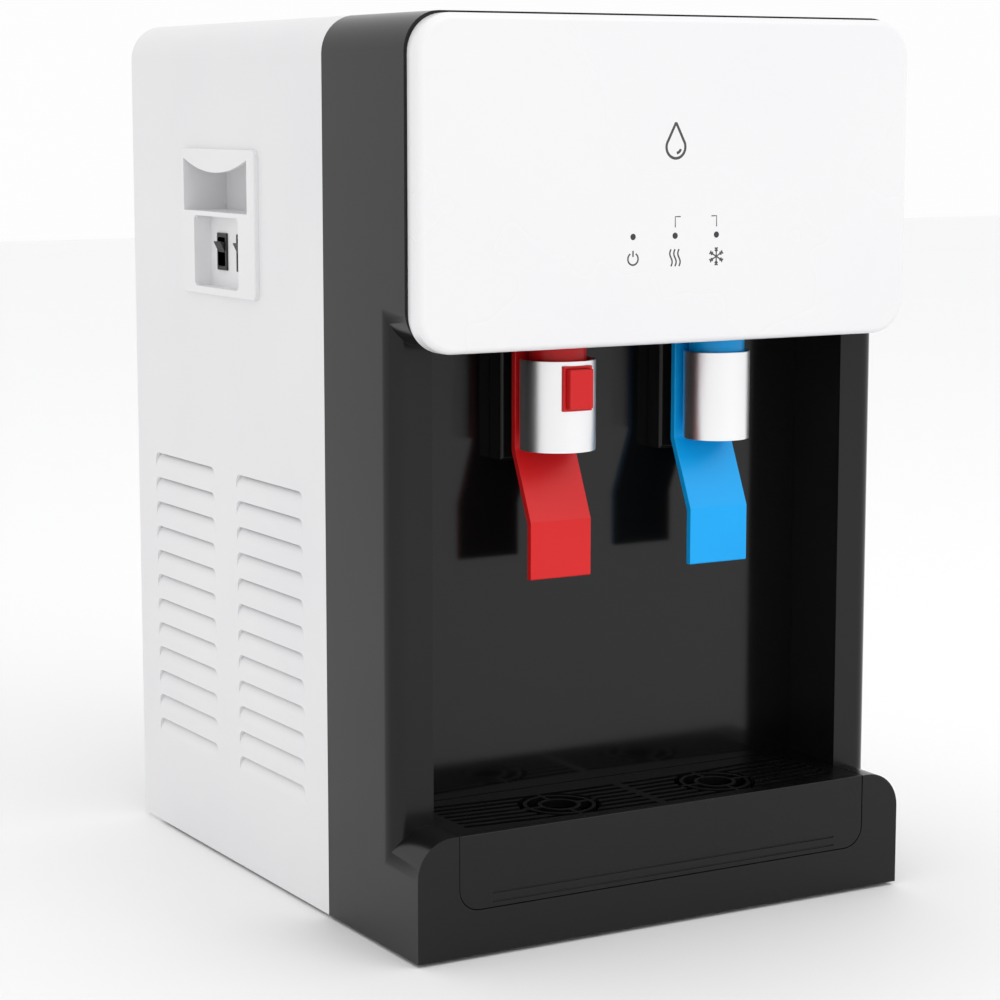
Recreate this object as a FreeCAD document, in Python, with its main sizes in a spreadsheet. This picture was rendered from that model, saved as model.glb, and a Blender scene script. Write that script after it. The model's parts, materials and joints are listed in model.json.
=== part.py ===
import FreeCAD, Part
import math
import os
import re
import Sketcher

# Countertop water dispenser with a hot and a cold tap, built as its separate pieces.
# Millimetres. +Z is up, the front faces -Y and +X is on the right of someone facing the front.
# The origin is on the floor, under the middle of the cabinet.

doc = FreeCAD.newDocument("WaterDispenser")
sheet = doc.addObject("Spreadsheet::Sheet", "Sizes")

# Each driving size: its name, its value in millimetres, and what it is. Distances named "front"
# or "setback" are measured back from the front of the base, heights from the floor.
size_rows = [
    ("overall_width", 305, "width of the cabinet"),
    ("overall_depth", 356, "front of the base to the rear edge of the cabinet"),
    ("overall_height", 481, "floor to the top"),
    ("corner_radius", 20, "rounded corners seen from the front"),
    ("fit_gap", 0.3, "clearance round pieces that lift or slide out"),
    ("pin_gap", 0.05, "radial clearance of a pin in its hole"),
    ("sheet_steel", 1.5, "sheet of the cabinet, rear panel and base pan"),
    ("foot_stand", 2, "gap under the cabinet"),
    ("foot_radius", 12, "rubber foot"),
    ("foot_taper", 1.8, "foot narrows towards the floor"),
    ("foot_inset", 30, "foot centre to the outside of the cabinet"),
    ("pan_height", 5, "underside of the base pan"),
    ("pan_flange", 14, "upturned edge of the base pan"),
    ("rear_recess", 20, "rear edge of the cabinet to the rear panel"),
    # black front shell
    ("shell_wall", 3, "moulded wall of the front shell"),
    ("shell_depth", 101.5, "front of the base to the front edge of the white cabinet"),
    ("column_width", 24.1, "column at each side of the bay"),
    ("column_setback", 27.2, "front face of the columns"),
    ("column_edge_radius", 9, "outer front edge of a column"),
    ("bay_setback", 70, "back wall of the bay"),
    ("bay_panel_thickness", 2.5, "glossy back wall"),
    ("base_top", 66, "top of the base block"),
    ("head_bottom", 314, "underside of the head"),
    # white front panel with its lights
    ("fascia_thickness", 11, "front panel"),
    ("fascia_side_gap", 1.8, "panel edge to the outside of the cabinet"),
    ("fascia_top_gap", 1.2, "panel edge to the top of the cabinet"),
    ("fascia_bottom", 312, "lower edge of the panel"),
    ("fascia_edge_radius", 3.5, "rounded front edge of the panel"),
    ("fascia_wall", 3, "moulded wall of the panel"),
    ("lens_radius", 1.6, "indicator lens"),
    ("lens_pitch", 25.8, "between two lenses"),
    ("lens_height", 368, "lens centre above the floor"),
    ("lens_length", 5, "light guide"),
    ("lens_recess", 0.1, "lens face behind the panel, and light guide to the board"),
    ("board_width", 90, "control board"),
    ("board_height", 34, "control board"),
    ("board_thickness", 1.6, "control board"),
    # hand grips
    ("grip_front", 180, "front edge of the grip bezel"),
    ("grip_width", 98, "grip bezel along the side"),
    ("grip_bottom", 328.5, "lower edge of the grip bezel with the switches"),
    ("grip_top", 410.5, "upper edge of the grip bezels"),
    ("grip_proud", 3, "bezel stands out of the cabinet"),
    ("grip_corner_radius", 4, "bezel corner"),
    ("grip_wall", 2, "wall of the grip box"),
    ("pocket_front", 189, "front side of the hand pocket"),
    ("pocket_width", 85.5, "hand pocket along the side"),
    ("pocket_bottom", 375.4, "floor of the hand pocket"),
    ("pocket_height", 29.6, "hand pocket"),
    ("pocket_depth", 27, "hand pocket, from the face of the bezel"),
    ("lip_sag", 7.7, "curved finger lip hangs into the pocket's mouth"),
    ("recess_front", 201, "front side of the switch recess"),
    ("recess_width", 59.6, "switch recess along the side"),
    ("recess_bottom", 332.8, "floor of the switch recess"),
    ("recess_height", 40, "switch recess"),
    ("recess_depth", 10.5, "switch recess, from the face of the bezel"),
    ("recess_corner_radius", 3, "switch recess"),
    # rocker switches
    ("switch_pitch", 26, "between the two switches"),
    ("switch_height", 352.5, "centre of the switches above the floor"),
    ("switch_width", 13, "switch flange along the side"),
    ("switch_tall", 21, "switch flange"),
    ("switch_flange", 1.2, "flange on the recess wall"),
    ("switch_rim", 0.8, "flange overlaps the hole in the recess wall"),
    ("switch_body_depth", 14, "housing behind the recess wall"),
    ("rocker_width", 9, "rocker along the side"),
    ("rocker_half", 7.5, "pivot to either end of the rocker"),
    ("rocker_rise", 1.9, "ends stand out further than the middle"),
    ("rocker_tilt", 12, "degrees from the middle to either position"),
    ("rocker_axle_radius", 1, "rocker stub axle"),
    # louvres
    ("louvre_front", 129.3, "front end of the first column"),
    ("louvre_length", 85, "one louvre"),
    ("louvre_column_pitch", 115.2, "between the two columns"),
    ("louvre_top", 229, "upper edge of the top louvre"),
    ("louvre_pitch", 14.75, "between two louvres"),
    ("louvre_count", 12, "louvres in a column"),
    ("louvre_height", 9.5, "pressed scoop"),
    ("louvre_depth", 4, "pressed scoop at its upper edge"),
    ("louvre_corner_radius", 4.5, "upper corners of the scoop"),
    # taps
    ("tap_spacing", 100.2, "between the two taps"),
    ("tap_setback", 34, "tap axis"),
    ("tap_rear_cut", 9, "sleeve and tap body end this far behind the axis"),
    ("hot_sleeve_radius", 20, "outside of the hot sleeve"),
    ("cold_sleeve_radius", 18, "outside of the cold sleeve"),
    ("sleeve_wall", 1.5, "drawn metal sleeve"),
    ("sleeve_bottom", 256.5, "lower edge of the sleeves"),
    ("sleeve_top", 304, "upper edge of the sleeves"),
    ("core_radius", 15, "coloured tap body"),
    ("core_rise", 5.5, "tap body ends above the sleeve's lower edge"),
    ("collar_height", 8, "collar that carries the sleeve"),
    ("water_bore", 4, "radius of the water way"),
    ("nozzle_radius", 7, "outlet nozzle"),
    ("nozzle_recess", 1.5, "lower edge of the sleeve to the nozzle's end"),
    ("valve_width", 24, "tap valve above the head floor"),
    ("valve_length", 21, "tap valve, front to back"),
    ("valve_height", 30, "tap valve"),
    ("valve_spigot_radius", 6, "valve spigot through the head floor"),
    ("valve_edge_radius", 1.2, "upper edges of the tap valve"),
    ("plunger_radius", 2.5, "valve plunger"),
    ("plunger_drop", 9, "valve plunger below the top of the valve"),
    ("plunger_depth", 7.5, "valve plunger inside the valve"),
    ("plunger_room", 2, "room in front of the plunger"),
    ("bracket_width", 41, "black bracket behind the lever"),
    ("bracket_setback", 58, "front face of the bracket"),
    ("bracket_bottom", 249, "lower edge of the bracket"),
    ("bracket_chamfer", 1.5, "front edges of the bracket"),
    # levers
    ("lever_width", 37, "lever blade"),
    ("lever_neck_width", 26, "lever inside the head"),
    ("lever_setback", 46.5, "front face of the upright part"),
    ("lever_thickness", 4, "lever blade"),
    ("lever_top", 342, "upper end of the lever"),
    ("lever_bend_top", 256, "upper bend"),
    ("lever_bend_bottom", 219, "lower bend"),
    ("lever_bottom", 188.5, "lower end of the lever"),
    ("lever_tab_setback", 30, "front face of the tab"),
    ("lever_bend_radius", 3, "bends of the blade"),
    ("lever_slot_side", 1, "lever to the sides of its slot in the head floor"),
    ("lever_slot_front", 1.5, "lever to the front of its slot in the head floor"),
    ("pivot_height", 324, "lever pivot above the floor"),
    ("pivot_radius", 2, "lever pin"),
    ("hub_radius", 4, "lever hub"),
    ("ear_gap", 21.5, "tap centre to the inner face of a hinge ear"),
    ("ear_thickness", 3, "hinge ear on the head floor"),
    ("ear_reach", 7, "half the depth of a hinge ear"),
    ("lever_spring_radius", 3.1, "coil of the return spring round the pin"),
    ("spring_wire_radius", 0.5, "wire of the springs"),
    ("lever_spring_pitch", 1.3, "coil of the return spring"),
    # child-lock button on the hot tap
    ("lock_width", 14, "button"),
    ("lock_tall", 20.4, "button"),
    ("lock_height", 290, "button centre above the floor"),
    ("lock_setback", 9.5, "face of the button"),
    ("lock_length", 11.5, "button, front to back"),
    ("lock_border", 1.5, "frame round the button"),
    ("lock_frame_setback", 13.5, "face of the frame"),
    ("lock_frame_length", 10.5, "frame, front to back"),
    ("lock_well", 6, "room for the spring behind the button"),
    ("lock_spring_radius", 3.5, "coil of the button spring"),
    ("lock_spring_pitch", 1.5, "coil of the button spring"),
    ("lock_edge_radius", 0.8, "front edges of the button"),
    # drip tray and grille
    ("tray_bottom", 25.7, "floor of the tray compartment"),
    ("tray_corner_radius", 12, "lower corners of the tray front"),
    ("tray_wall", 2.5, "sides and floor of the tray"),
    ("tray_front_wall", 4, "front of the tray"),
    ("groove_bottom", 29, "lowest groove of the tray front"),
    ("groove_pitch", 4.7, "between two grooves"),
    ("groove_count", 2, "grooves across the tray front"),
    ("groove_height", 0.8, "one groove"),
    ("groove_depth", 0.7, "one groove"),
    ("groove_margin", 43.6, "end of a groove to the outside of the cabinet"),
    ("grille_thickness", 4, "drip grille"),
    ("slat_pitch", 7.1, "between two slots of the grille"),
    ("slot_width", 4, "one slot"),
    ("slot_count", 7, "slots, front to back"),
    ("slot_first", 9, "first slot at mid width"),
    ("slat_bow_radius", 1039, "slots curve back towards their ends"),
    ("slot_side_margin", 11, "end of a slot to the edge of the grille"),
    ("grille_spine", 5, "solid strip at mid width"),
    ("target_setback", 31, "centre of the ring under each tap"),
    ("target_outer_radius", 18.5, "outer ring"),
    ("target_inner_radius", 10.5, "inner ring"),
    ("target_clear_radius", 22.5, "slots stop round the rings"),
    ("target_bar", 2, "bars of the rings"),
    # water tanks
    ("tank_floor", 205, "top of the shelf that carries the tanks"),
    ("shelf_gap", 2, "shelf to the louvres and to the panels in front and behind"),
    ("hot_tank_x", -76, "hot tank axis"),
    ("hot_tank_y", 32, "hot tank axis"),
    ("hot_tank_radius", 42, "hot tank"),
    ("hot_tank_height", 105, "hot tank"),
    ("heater_thickness", 2.5, "band heater"),
    ("heater_height", 28, "band heater"),
    ("jacket_thickness", 8, "foam round the tanks"),
    ("cold_tank_x", 64, "cold tank axis"),
    ("cold_tank_y", 32, "cold tank axis"),
    ("cold_tank_radius", 55, "cold tank"),
    ("cold_tank_height", 130, "cold tank"),
    ("tank_wall", 1, "stainless tank"),
    ("tank_lid_thickness", 6, "lid of the cold tank"),
    ("coil_tube_radius", 2.4, "refrigerant tube"),
    ("coil_pitch", 12, "evaporator coil"),
    ("coil_turns", 8, "evaporator coil"),
    ("thermostat_radius", 8, "snap-disc thermostat"),
    ("thermostat_height", 6, "snap-disc thermostat"),
    # cooling and filtering
    ("compressor_x", 78, "compressor axis"),
    ("compressor_y", 62, "compressor axis"),
    ("compressor_radius", 52, "compressor shell"),
    ("compressor_height", 135, "compressor shell"),
    ("compressor_dome_radius", 31, "rounded shoulder of the compressor shell"),
    ("compressor_foot", 58, "half the compressor's foot plate"),
    ("grommet_height", 10, "rubber grommet under the compressor"),
    ("grommet_radius", 8, "rubber grommet under the compressor"),
    ("drier_radius", 9, "filter drier"),
    ("drier_length", 90, "filter drier"),
    ("filter_radius", 23, "filter cartridge"),
    ("filter_height", 140, "filter cartridge"),
    ("filter_x", -112, "first cartridge axis"),
    ("filter_pitch", 54, "between the cartridges"),
    ("filter_y", 90, "cartridge axis"),
    ("filter_head_height", 18, "head of the cartridges"),
    ("module_size", 36, "self-cleaning module"),
    ("feed_tube_radius", 3.2, "quarter-inch tube between inlet, filters and cold tank"),
    ("feed_x", -14, "tube rising between the tanks"),
    ("feed_lid_x", 40, "tube entering the lid of the cold tank"),
    # rear fittings
    ("condenser_width", 230, "condenser"),
    ("condenser_bottom", 196, "lowest run of the condenser"),
    ("condenser_runs", 10, "runs of the condenser tube"),
    ("condenser_pitch", 24, "between two runs"),
    ("condenser_stand", 8, "condenser tube axis to the rear panel"),
    ("wire_radius", 0.8, "condenser wire"),
    ("wire_count", 22, "condenser wires"),
    ("wire_overhang", 6, "condenser wire beyond the first and the last run"),
    ("clip_size", 10, "condenser clip"),
    ("vent_width", 90, "vent slot in the rear panel"),
    ("vent_height", 5, "vent slot in the rear panel"),
    ("vent_corner_radius", 2, "vent slot in the rear panel"),
    ("vent_pitch", 13, "between two vent slots"),
    ("vent_count", 7, "vent slots in the rear panel"),
    ("vent_bottom", 70, "lowest vent slot"),
    ("vent_x", 78, "middle of the vent slots"),
    ("inlet_x", -112, "water inlet"),
    ("inlet_height", 45, "water inlet"),
    ("inlet_bore", 3.2, "radius for a quarter-inch tube"),
    ("inlet_bore_depth", 14, "quarter-inch tube in the inlet"),
    ("inlet_radius", 8, "outside of the water inlet"),
    ("inlet_stub_radius", 5, "inlet behind the panel"),
    ("inlet_way_radius", 2.2, "water way of the inlet and of its valve"),
    ("inlet_valve_size", 20, "body of the inlet valve"),
    ("inlet_coil_radius", 8, "coil on the inlet valve"),
    ("inlet_coil_height", 24, "coil on the inlet valve"),
    ("fitting_stand", 12, "inlet, drains and gland stand out of the rear panel"),
    ("drain_first_x", -70, "hot drain"),
    ("drain_pitch", 34, "between the two drains"),
    ("drain_height", 45, "drains"),
    ("drain_radius", 5.5, "drain spigot"),
    ("cap_wall", 2.5, "drain cap"),
    ("gland_x", 30, "cord gland"),
    ("gland_height", 36, "cord gland"),
    ("gland_bore", 4, "radius of the cord's way through the gland"),
    ("gland_radius", 9, "cord gland outside the panel"),
    ("gland_stub_radius", 6.5, "cord gland through the panel"),
    ("gland_inside", 10, "cord gland behind the panel"),
    ("screw_head_radius", 3.5, "panel screw"),
    ("screw_radius", 1.5, "panel screw"),
    ("screw_length", 8, "panel screw"),
    ("screw_inset", 10, "panel screw to the edge of the panel"),
]

for row, (name, amount, meaning) in enumerate(size_rows, start=1):
    sheet.set("A%d" % row, name.replace("_", " "))
    sheet.set("B%d" % row, str(amount))
    sheet.set("C%d" % row, meaning)
    sheet.setAlias("B%d" % row, name)
doc.recompute()
size_names = {name for name, amount, meaning in size_rows}

# Places that several pieces share, as formulas of the driving sizes
side = "(overall_width / 2)"
inner_side = "(overall_width / 2 - sheet_steel)"
bay_half = "(overall_width / 2 - column_width)"
rear = "(overall_depth / 2)"
cabinet_depth = "(overall_depth - shell_depth)"
panel_back = "(overall_depth / 2 - rear_recess)"
floor_top = "(head_bottom + shell_wall)"
pan_top = "(pan_height + sheet_steel)"
taps = {"hot": "(-tap_spacing / 2)", "cold": "(tap_spacing / 2)"}
axis_turns = {
    "x": FreeCAD.Rotation(FreeCAD.Vector(0, 1, 0), 90),
    "y": FreeCAD.Rotation(FreeCAD.Vector(1, 0, 0), -90),
    "z": FreeCAD.Rotation(),
}
sub_parts = {}


def formula(text):
    """A formula of size names as the expression that reads them from the sheet"""
    def refer(match):
        word = match.group(0)
        return "Sizes." + word if word in size_names else word
    return re.sub(r"[a-z_]+", refer, str(text))


def amount_of(text):
    return float(sheet.evalExpression(formula(text)))


def from_front(text):
    """The Y of a place this far behind the front of the base"""
    return "(%s - overall_depth / 2)" % text


def bind(thing, **formulas):
    for name, text in formulas.items():
        thing.setExpression(name, formula(text))


def place(thing, at, axis="z"):
    """Puts a primitive at a point whose coordinates stay bound to the sheet"""
    thing.Placement = FreeCAD.Placement(FreeCAD.Vector(), axis_turns[axis])
    for letter, text in zip("xyz", at):
        thing.setExpression("Placement.Base." + letter, formula(text))


def keep(node, thing):
    """Marks an object as a sub-part of the dispenser"""
    thing.Label = node
    sub_parts[node] = thing
    return thing


# Part primitives and booleans

def block(name, size, low, kind="Part::Box", owner=doc):
    add = doc.addObject if owner is doc else owner.newObject
    box = add(kind, name)
    bind(box, Length=size[0], Width=size[1], Height=size[2])
    place(box, low)
    return box


def rod(name, radius, length, at, axis="z", kind="Part::Cylinder", owner=doc):
    add = doc.addObject if owner is doc else owner.newObject
    cylinder = add(kind, name)
    bind(cylinder, Radius=radius, Height=length)
    place(cylinder, at, axis)
    return cylinder


def fuse(name, shapes):
    union = doc.addObject("Part::MultiFuse", name)
    union.Shapes = shapes
    return union


def cut(name, base, tools):
    difference = doc.addObject("Part::Cut", name)
    difference.Base = base
    difference.Tool = tools[0] if len(tools) == 1 else fuse(name + "_tools", tools)
    return difference


def common(name, first, second):
    overlap = doc.addObject("Part::Common", name)
    overlap.Base = first
    overlap.Tool = second
    return overlap


def group(name, shapes):
    """Identical pieces that stay separate solids in one sub-part"""
    compound = doc.addObject("Part::Compound", name)
    compound.Links = shapes
    return compound


def tube(name, outer, bore, length, at, axis="z"):
    return cut(name, rod(name + "_outside", outer, length, at, axis),
               [rod(name + "_bore", bore, length, at, axis)])


def coil(name, radius, wire, pitch, height, at, axis="z"):
    """Round wire wound into a helix that starts at a point and runs along an axis"""
    helix = doc.addObject("Part::Helix", name + "_path")
    bind(helix, Radius=radius, Pitch=pitch, Height=height)
    helix.SegmentLength = 0.5  # of a turn
    section = doc.addObject("Part::Circle", name + "_section")
    bind(section, Radius=wire)
    section.Placement.Rotation = FreeCAD.Rotation(FreeCAD.Vector(1, 0, 0), 90)
    section.setExpression("Placement.Base.x", formula(radius))
    sweep = doc.addObject("Part::Sweep", name)
    sweep.Sections = [section]
    sweep.Spine = (helix, [])
    sweep.Solid = True
    sweep.Frenet = True
    place(sweep, at, axis)
    return sweep


def pipe(name, points, radius, bend):
    """A tube along straight runs joined by round bends"""
    corners = [FreeCAD.Vector(*[amount_of(text) for text in point]) for point in points]
    reach = amount_of(bend)
    edges = []
    start = corners[0]
    for before, corner, after in zip(corners, corners[1:], corners[2:]):
        inward = (before - corner).normalize()
        outward = (after - corner).normalize()
        setback = reach / math.tan(inward.getAngle(outward) / 2)
        first = corner + inward * setback
        last = corner + outward * setback
        halfway = (inward + outward).normalize()
        centre = corner + halfway * math.hypot(reach, setback)
        edges.append(Part.LineSegment(start, first).toShape())
        edges.append(Part.Arc(first, centre - halfway * reach, last).toShape())
        start = last
    edges.append(Part.LineSegment(start, corners[-1]).toShape())
    direction = corners[1] - corners[0]
    section = Part.Wire(Part.makeCircle(amount_of(radius), corners[0], direction))
    solid = Part.Wire(edges).makePipeShell([section], True, False)
    feature = doc.addObject("Part::Feature", name)
    feature.Shape = solid
    feature.Placement = FreeCAD.Placement()
    return feature


# Sketches

def outline(sketch, corners):
    """A closed outline through corners given as formulas (across, up, radius of the rounding)"""
    places = [FreeCAD.Vector(amount_of(across), amount_of(up), 0) for across, up, radius in corners]
    radii = [amount_of(radius) for across, up, radius in corners]
    count = len(corners)
    starts = []
    ends = []
    middles = []
    for index, corner in enumerate(places):
        inward = (places[index - 1] - corner).normalize()
        outward = (places[(index + 1) % count] - corner).normalize()
        setback = radii[index] / math.tan(inward.getAngle(outward) / 2)
        halfway = (inward + outward).normalize()
        starts.append(corner + inward * setback)
        ends.append(corner + outward * setback)
        middles.append(corner + halfway * (math.hypot(radii[index], setback) - radii[index]))
    lines = [sketch.addGeometry(Part.LineSegment(ends[index], starts[(index + 1) % count]))
             for index in range(count)]
    for index, (across, up, radius) in enumerate(corners):
        before = lines[index - 1]
        after = lines[index]
        if radii[index] > 0:
            turn = (places[index] - places[index - 1]).cross(places[(index + 1) % count] - places[index]).z
            first = 1 if turn > 0 else 2
            ordered = [starts[index], middles[index], ends[index]][::1 if turn > 0 else -1]
            arc = sketch.addGeometry(Part.Arc(*ordered))
            sketch.addConstraint(Sketcher.Constraint("Tangent", before, 2, arc, first))
            sketch.addConstraint(Sketcher.Constraint("Tangent", after, 1, arc, 3 - first))
            rounding = sketch.addConstraint(Sketcher.Constraint("Radius", arc, radii[index]))
            sketch.setExpression("Constraints[%d]" % rounding, formula(radius))
            point = sketch.addGeometry(Part.Point(places[index]), True)
            sketch.addConstraint(Sketcher.Constraint("PointOnObject", point, 1, before))
            sketch.addConstraint(Sketcher.Constraint("PointOnObject", point, 1, after))
        else:
            point = after
            sketch.addConstraint(Sketcher.Constraint("Coincident", before, 2, after, 1))
        for kind, text in (("DistanceX", across), ("DistanceY", up)):
            distance = Sketcher.Constraint(kind, -1, 1, point, 1, amount_of(text))
            fixed = sketch.addConstraint(distance)
            sketch.setExpression("Constraints[%d]" % fixed, formula(text))


def rectangle(low, high, lower="0", upper="0"):
    """Corners of an upright rectangle with its own lower and upper corner radius"""
    return [(low[0], low[1], lower), (high[0], low[1], lower),
            (high[0], high[1], upper), (low[0], high[1], upper)]


# A pad from a sketch on one of these planes runs towards plus X, Y or Z if it is reversed so,
# and a pocket runs the same way if it isn't.
plane_normals = {"XY": 1, "XZ": -1, "YZ": 1}


class Piece:
    """A PartDesign body made of pads, pockets, blocks, rods and rounded edges"""

    def __init__(self, node, shared=False):
        self.body = doc.addObject("PartDesign::Body", node)
        self.node = node
        self.steps = 0
        if not shared:
            keep(node, self.body)

    def next_name(self):
        self.steps += 1
        return "%s_step%d" % (self.node, self.steps)

    def settle(self, grows):
        """Recomputes and makes sure that the last step added or removed material"""
        doc.recompute()
        steps = [step for step in self.body.Group if step.isDerivedFrom("PartDesign::Feature")]
        if len(steps) > 1:
            change = steps[-1].Shape.Volume - steps[-2].Shape.Volume
            if change == 0 or (change > 0) != grows:
                raise RuntimeError("%s changed nothing" % steps[-1].Name)

    def sketch(self, plane, corners, start):
        name = self.next_name()
        sketch = self.body.newObject("Sketcher::SketchObject", name + "_sketch")
        origin_plane = [item for item in self.body.Origin.OriginFeatures if item.Role == plane + "_Plane"]
        sketch.AttachmentSupport = [(origin_plane[0], "")]
        sketch.MapMode = "FlatFace"
        offset = "%d * (%s)" % (plane_normals[plane], start)
        sketch.setExpression("AttachmentOffset.Base.z", formula(offset))
        if callable(corners):
            corners(sketch)
        else:
            outline(sketch, corners)
        return sketch, name

    def pad(self, plane, corners, start, length):
        sketch, name = self.sketch(plane, corners, start)
        pad = self.body.newObject("PartDesign::Pad", name)
        pad.Profile = sketch
        bind(pad, Length=length)
        pad.Reversed = plane_normals[plane] < 0
        self.settle(True)

    def pocket(self, plane, corners, start, length):
        sketch, name = self.sketch(plane, corners, start)
        pocket = self.body.newObject("PartDesign::Pocket", name)
        pocket.Profile = sketch
        bind(pocket, Length=length)
        pocket.Reversed = plane_normals[plane] > 0
        self.settle(False)
        return pocket

    def revolve(self, corners, at):
        """Turns an outline in the XZ plane about an upright axis"""
        sketch, name = self.sketch("XZ", corners, "0")
        turned = self.body.newObject("PartDesign::Revolution", name)
        turned.Profile = sketch
        turned.ReferenceAxis = (sketch, ["V_Axis"])
        turned.Angle = 360
        place(self.body, at)
        self.settle(True)

    def add_block(self, size, low):
        block(self.next_name(), size, low, "PartDesign::AdditiveBox", self.body)
        self.settle(True)

    def cut_block(self, size, low):
        step = block(self.next_name(), size, low, "PartDesign::SubtractiveBox", self.body)
        self.settle(False)
        return step

    def add_rod(self, radius, length, at, axis="z"):
        rod(self.next_name(), radius, length, at, axis, "PartDesign::AdditiveCylinder", self.body)
        self.settle(True)

    def cut_rod(self, radius, length, at, axis="z"):
        rod(self.next_name(), radius, length, at, axis, "PartDesign::SubtractiveCylinder", self.body)
        self.settle(False)

    def edges(self, chosen):
        shape = self.body.Shape
        return ["Edge%d" % number for number, edge in enumerate(shape.Edges, start=1) if chosen(edge)]

    def round_edges(self, radius, chosen):
        dressed = (self.body.Tip, self.edges(chosen))
        fillet = self.body.newObject("PartDesign::Fillet", self.next_name())
        fillet.Base = dressed
        bind(fillet, Radius=radius)
        self.settle(False)

    def chamfer_edges(self, size, chosen):
        dressed = (self.body.Tip, self.edges(chosen))
        chamfer = self.body.newObject("PartDesign::Chamfer", self.next_name())
        chamfer.Base = dressed
        bind(chamfer, Size=size)
        self.settle(False)

    def repeat(self, step, axis, pitch, count):
        """Repeats one step along an axis of the body's origin"""
        line = [item for item in self.body.Origin.OriginFeatures if item.Role == axis + "_Axis"]
        pattern = self.body.newObject("PartDesign::LinearPattern", self.next_name())
        pattern.Originals = [step]
        pattern.Direction = (line[0], [""])
        pattern.Mode = "Spacing"
        bind(pattern, Offset=pitch, Occurrences=count)
        self.body.Tip = pattern
        self.settle(False)


def near(number, text):
    return abs(number - amount_of(text)) < 0.01


def flat_at(edge, **places):
    """Whether the whole edge lies in the planes x, y or z = the given formulas"""
    box = edge.BoundBox
    spans = {"x": (box.XMin, box.XMax), "y": (box.YMin, box.YMax), "z": (box.ZMin, box.ZMax)}
    return all(near(spans[key][0], text) and near(spans[key][1], text) for key, text in places.items())


# The cabinet

scoop_radius = "((louvre_height ^ 2 + louvre_depth ^ 2) / (2 * louvre_depth))"


def louvre_tool(name, grow, depth, cylinder_radius):
    """One louvre's volume on the left side: a slab with rounded upper corners, scooped at the back"""
    corners = [(from_front("louvre_front - %s" % grow), "louvre_top - louvre_height", "0"),
               (from_front("louvre_front + louvre_length + %s" % grow), "louvre_top - louvre_height", "0"),
               (from_front("louvre_front + louvre_length + %s" % grow), "louvre_top",
                "louvre_corner_radius + %s" % grow),
               (from_front("louvre_front - %s" % grow), "louvre_top", "louvre_corner_radius + %s" % grow)]
    sketch = doc.addObject("Sketcher::SketchObject", name + "_sketch")
    sketch.Placement = FreeCAD.Placement(FreeCAD.Vector(), FreeCAD.Rotation(FreeCAD.Vector(1, 1, 1), 120))
    sketch.setExpression("Placement.Base.x", formula("-%s" % side))
    outline(sketch, corners)
    slab = doc.addObject("Part::Extrusion", name + "_slab")
    slab.Base = sketch
    slab.Dir = FreeCAD.Vector(1, 0, 0)
    slab.DirMode = "Custom"
    slab.Solid = True
    bind(slab, LengthFwd=depth)
    drum = rod(name + "_drum", cylinder_radius, "louvre_length + 4 * louvre_height",
               ("%s - %s" % (scoop_radius, side), from_front("louvre_front - 2 * louvre_height"),
                "louvre_top - louvre_height"), "y")
    return cut(name, slab, [drum])


def louvre_copies(name, source):
    """One louvre's volume repeated in rows and columns on both sides"""
    copies = []
    for column in range(2):
        for row in range(round(amount_of("louvre_count"))):
            copy = source.Shape.copy()
            back = column * amount_of("louvre_column_pitch")
            down = row * amount_of("louvre_pitch")
            copy.translate(FreeCAD.Vector(0, back, -down))
            copies.append(copy)
            copies.append(copy.mirror(FreeCAD.Vector(), FreeCAD.Vector(1, 0, 0)))
    feature = doc.addObject("Part::Feature", name)
    feature.Shape = Part.makeCompound(copies)
    feature.Placement = FreeCAD.Placement()
    return feature


def cabinet_wrap():
    """White sheet over the left side, the top and the right side"""
    front = from_front("shell_depth")
    outer = rectangle(("-%s" % side, "foot_stand"), (side, "overall_height"), "0", "corner_radius")
    inner = rectangle(("-%s" % inner_side, "foot_stand - sheet_steel"),
                      (inner_side, "overall_height - sheet_steel"), "0", "corner_radius - sheet_steel")
    plain = Piece("cabinet_plain", shared=True)
    plain.pad("XZ", outer, front, cabinet_depth)
    plain.pocket("XZ", inner, front, cabinet_depth)
    skin = louvre_tool("louvre_skin", "sheet_steel", "louvre_depth + sheet_steel",
                       "%s - sheet_steel" % scoop_radius)
    hollow = louvre_tool("louvre_hollow", "0", "louvre_depth + sheet_steel", scoop_radius)
    doc.recompute()
    pressed = fuse("cabinet_pressed", [plain.body, louvre_copies("louvre_skins", skin)])
    windows = []
    for name, low in (("left", "-%s" % side), ("right", inner_side)):
        windows.append(block("pocket_window_" + name,
                             ("sheet_steel", "pocket_width + 2 * grip_wall", "pocket_height + 2 * grip_wall"),
                             (low, from_front("pocket_front - grip_wall"), "pocket_bottom - grip_wall")))
    windows.append(block("recess_window",
                         ("sheet_steel", "recess_width + 2 * grip_wall", "recess_height + 2 * grip_wall"),
                         ("-%s" % side, from_front("recess_front - grip_wall"), "recess_bottom - grip_wall")))
    tools = [louvre_copies("louvre_hollows", hollow)] + windows
    keep("cabinet_wrap", cut("cabinet_wrap", pressed, tools))


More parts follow.
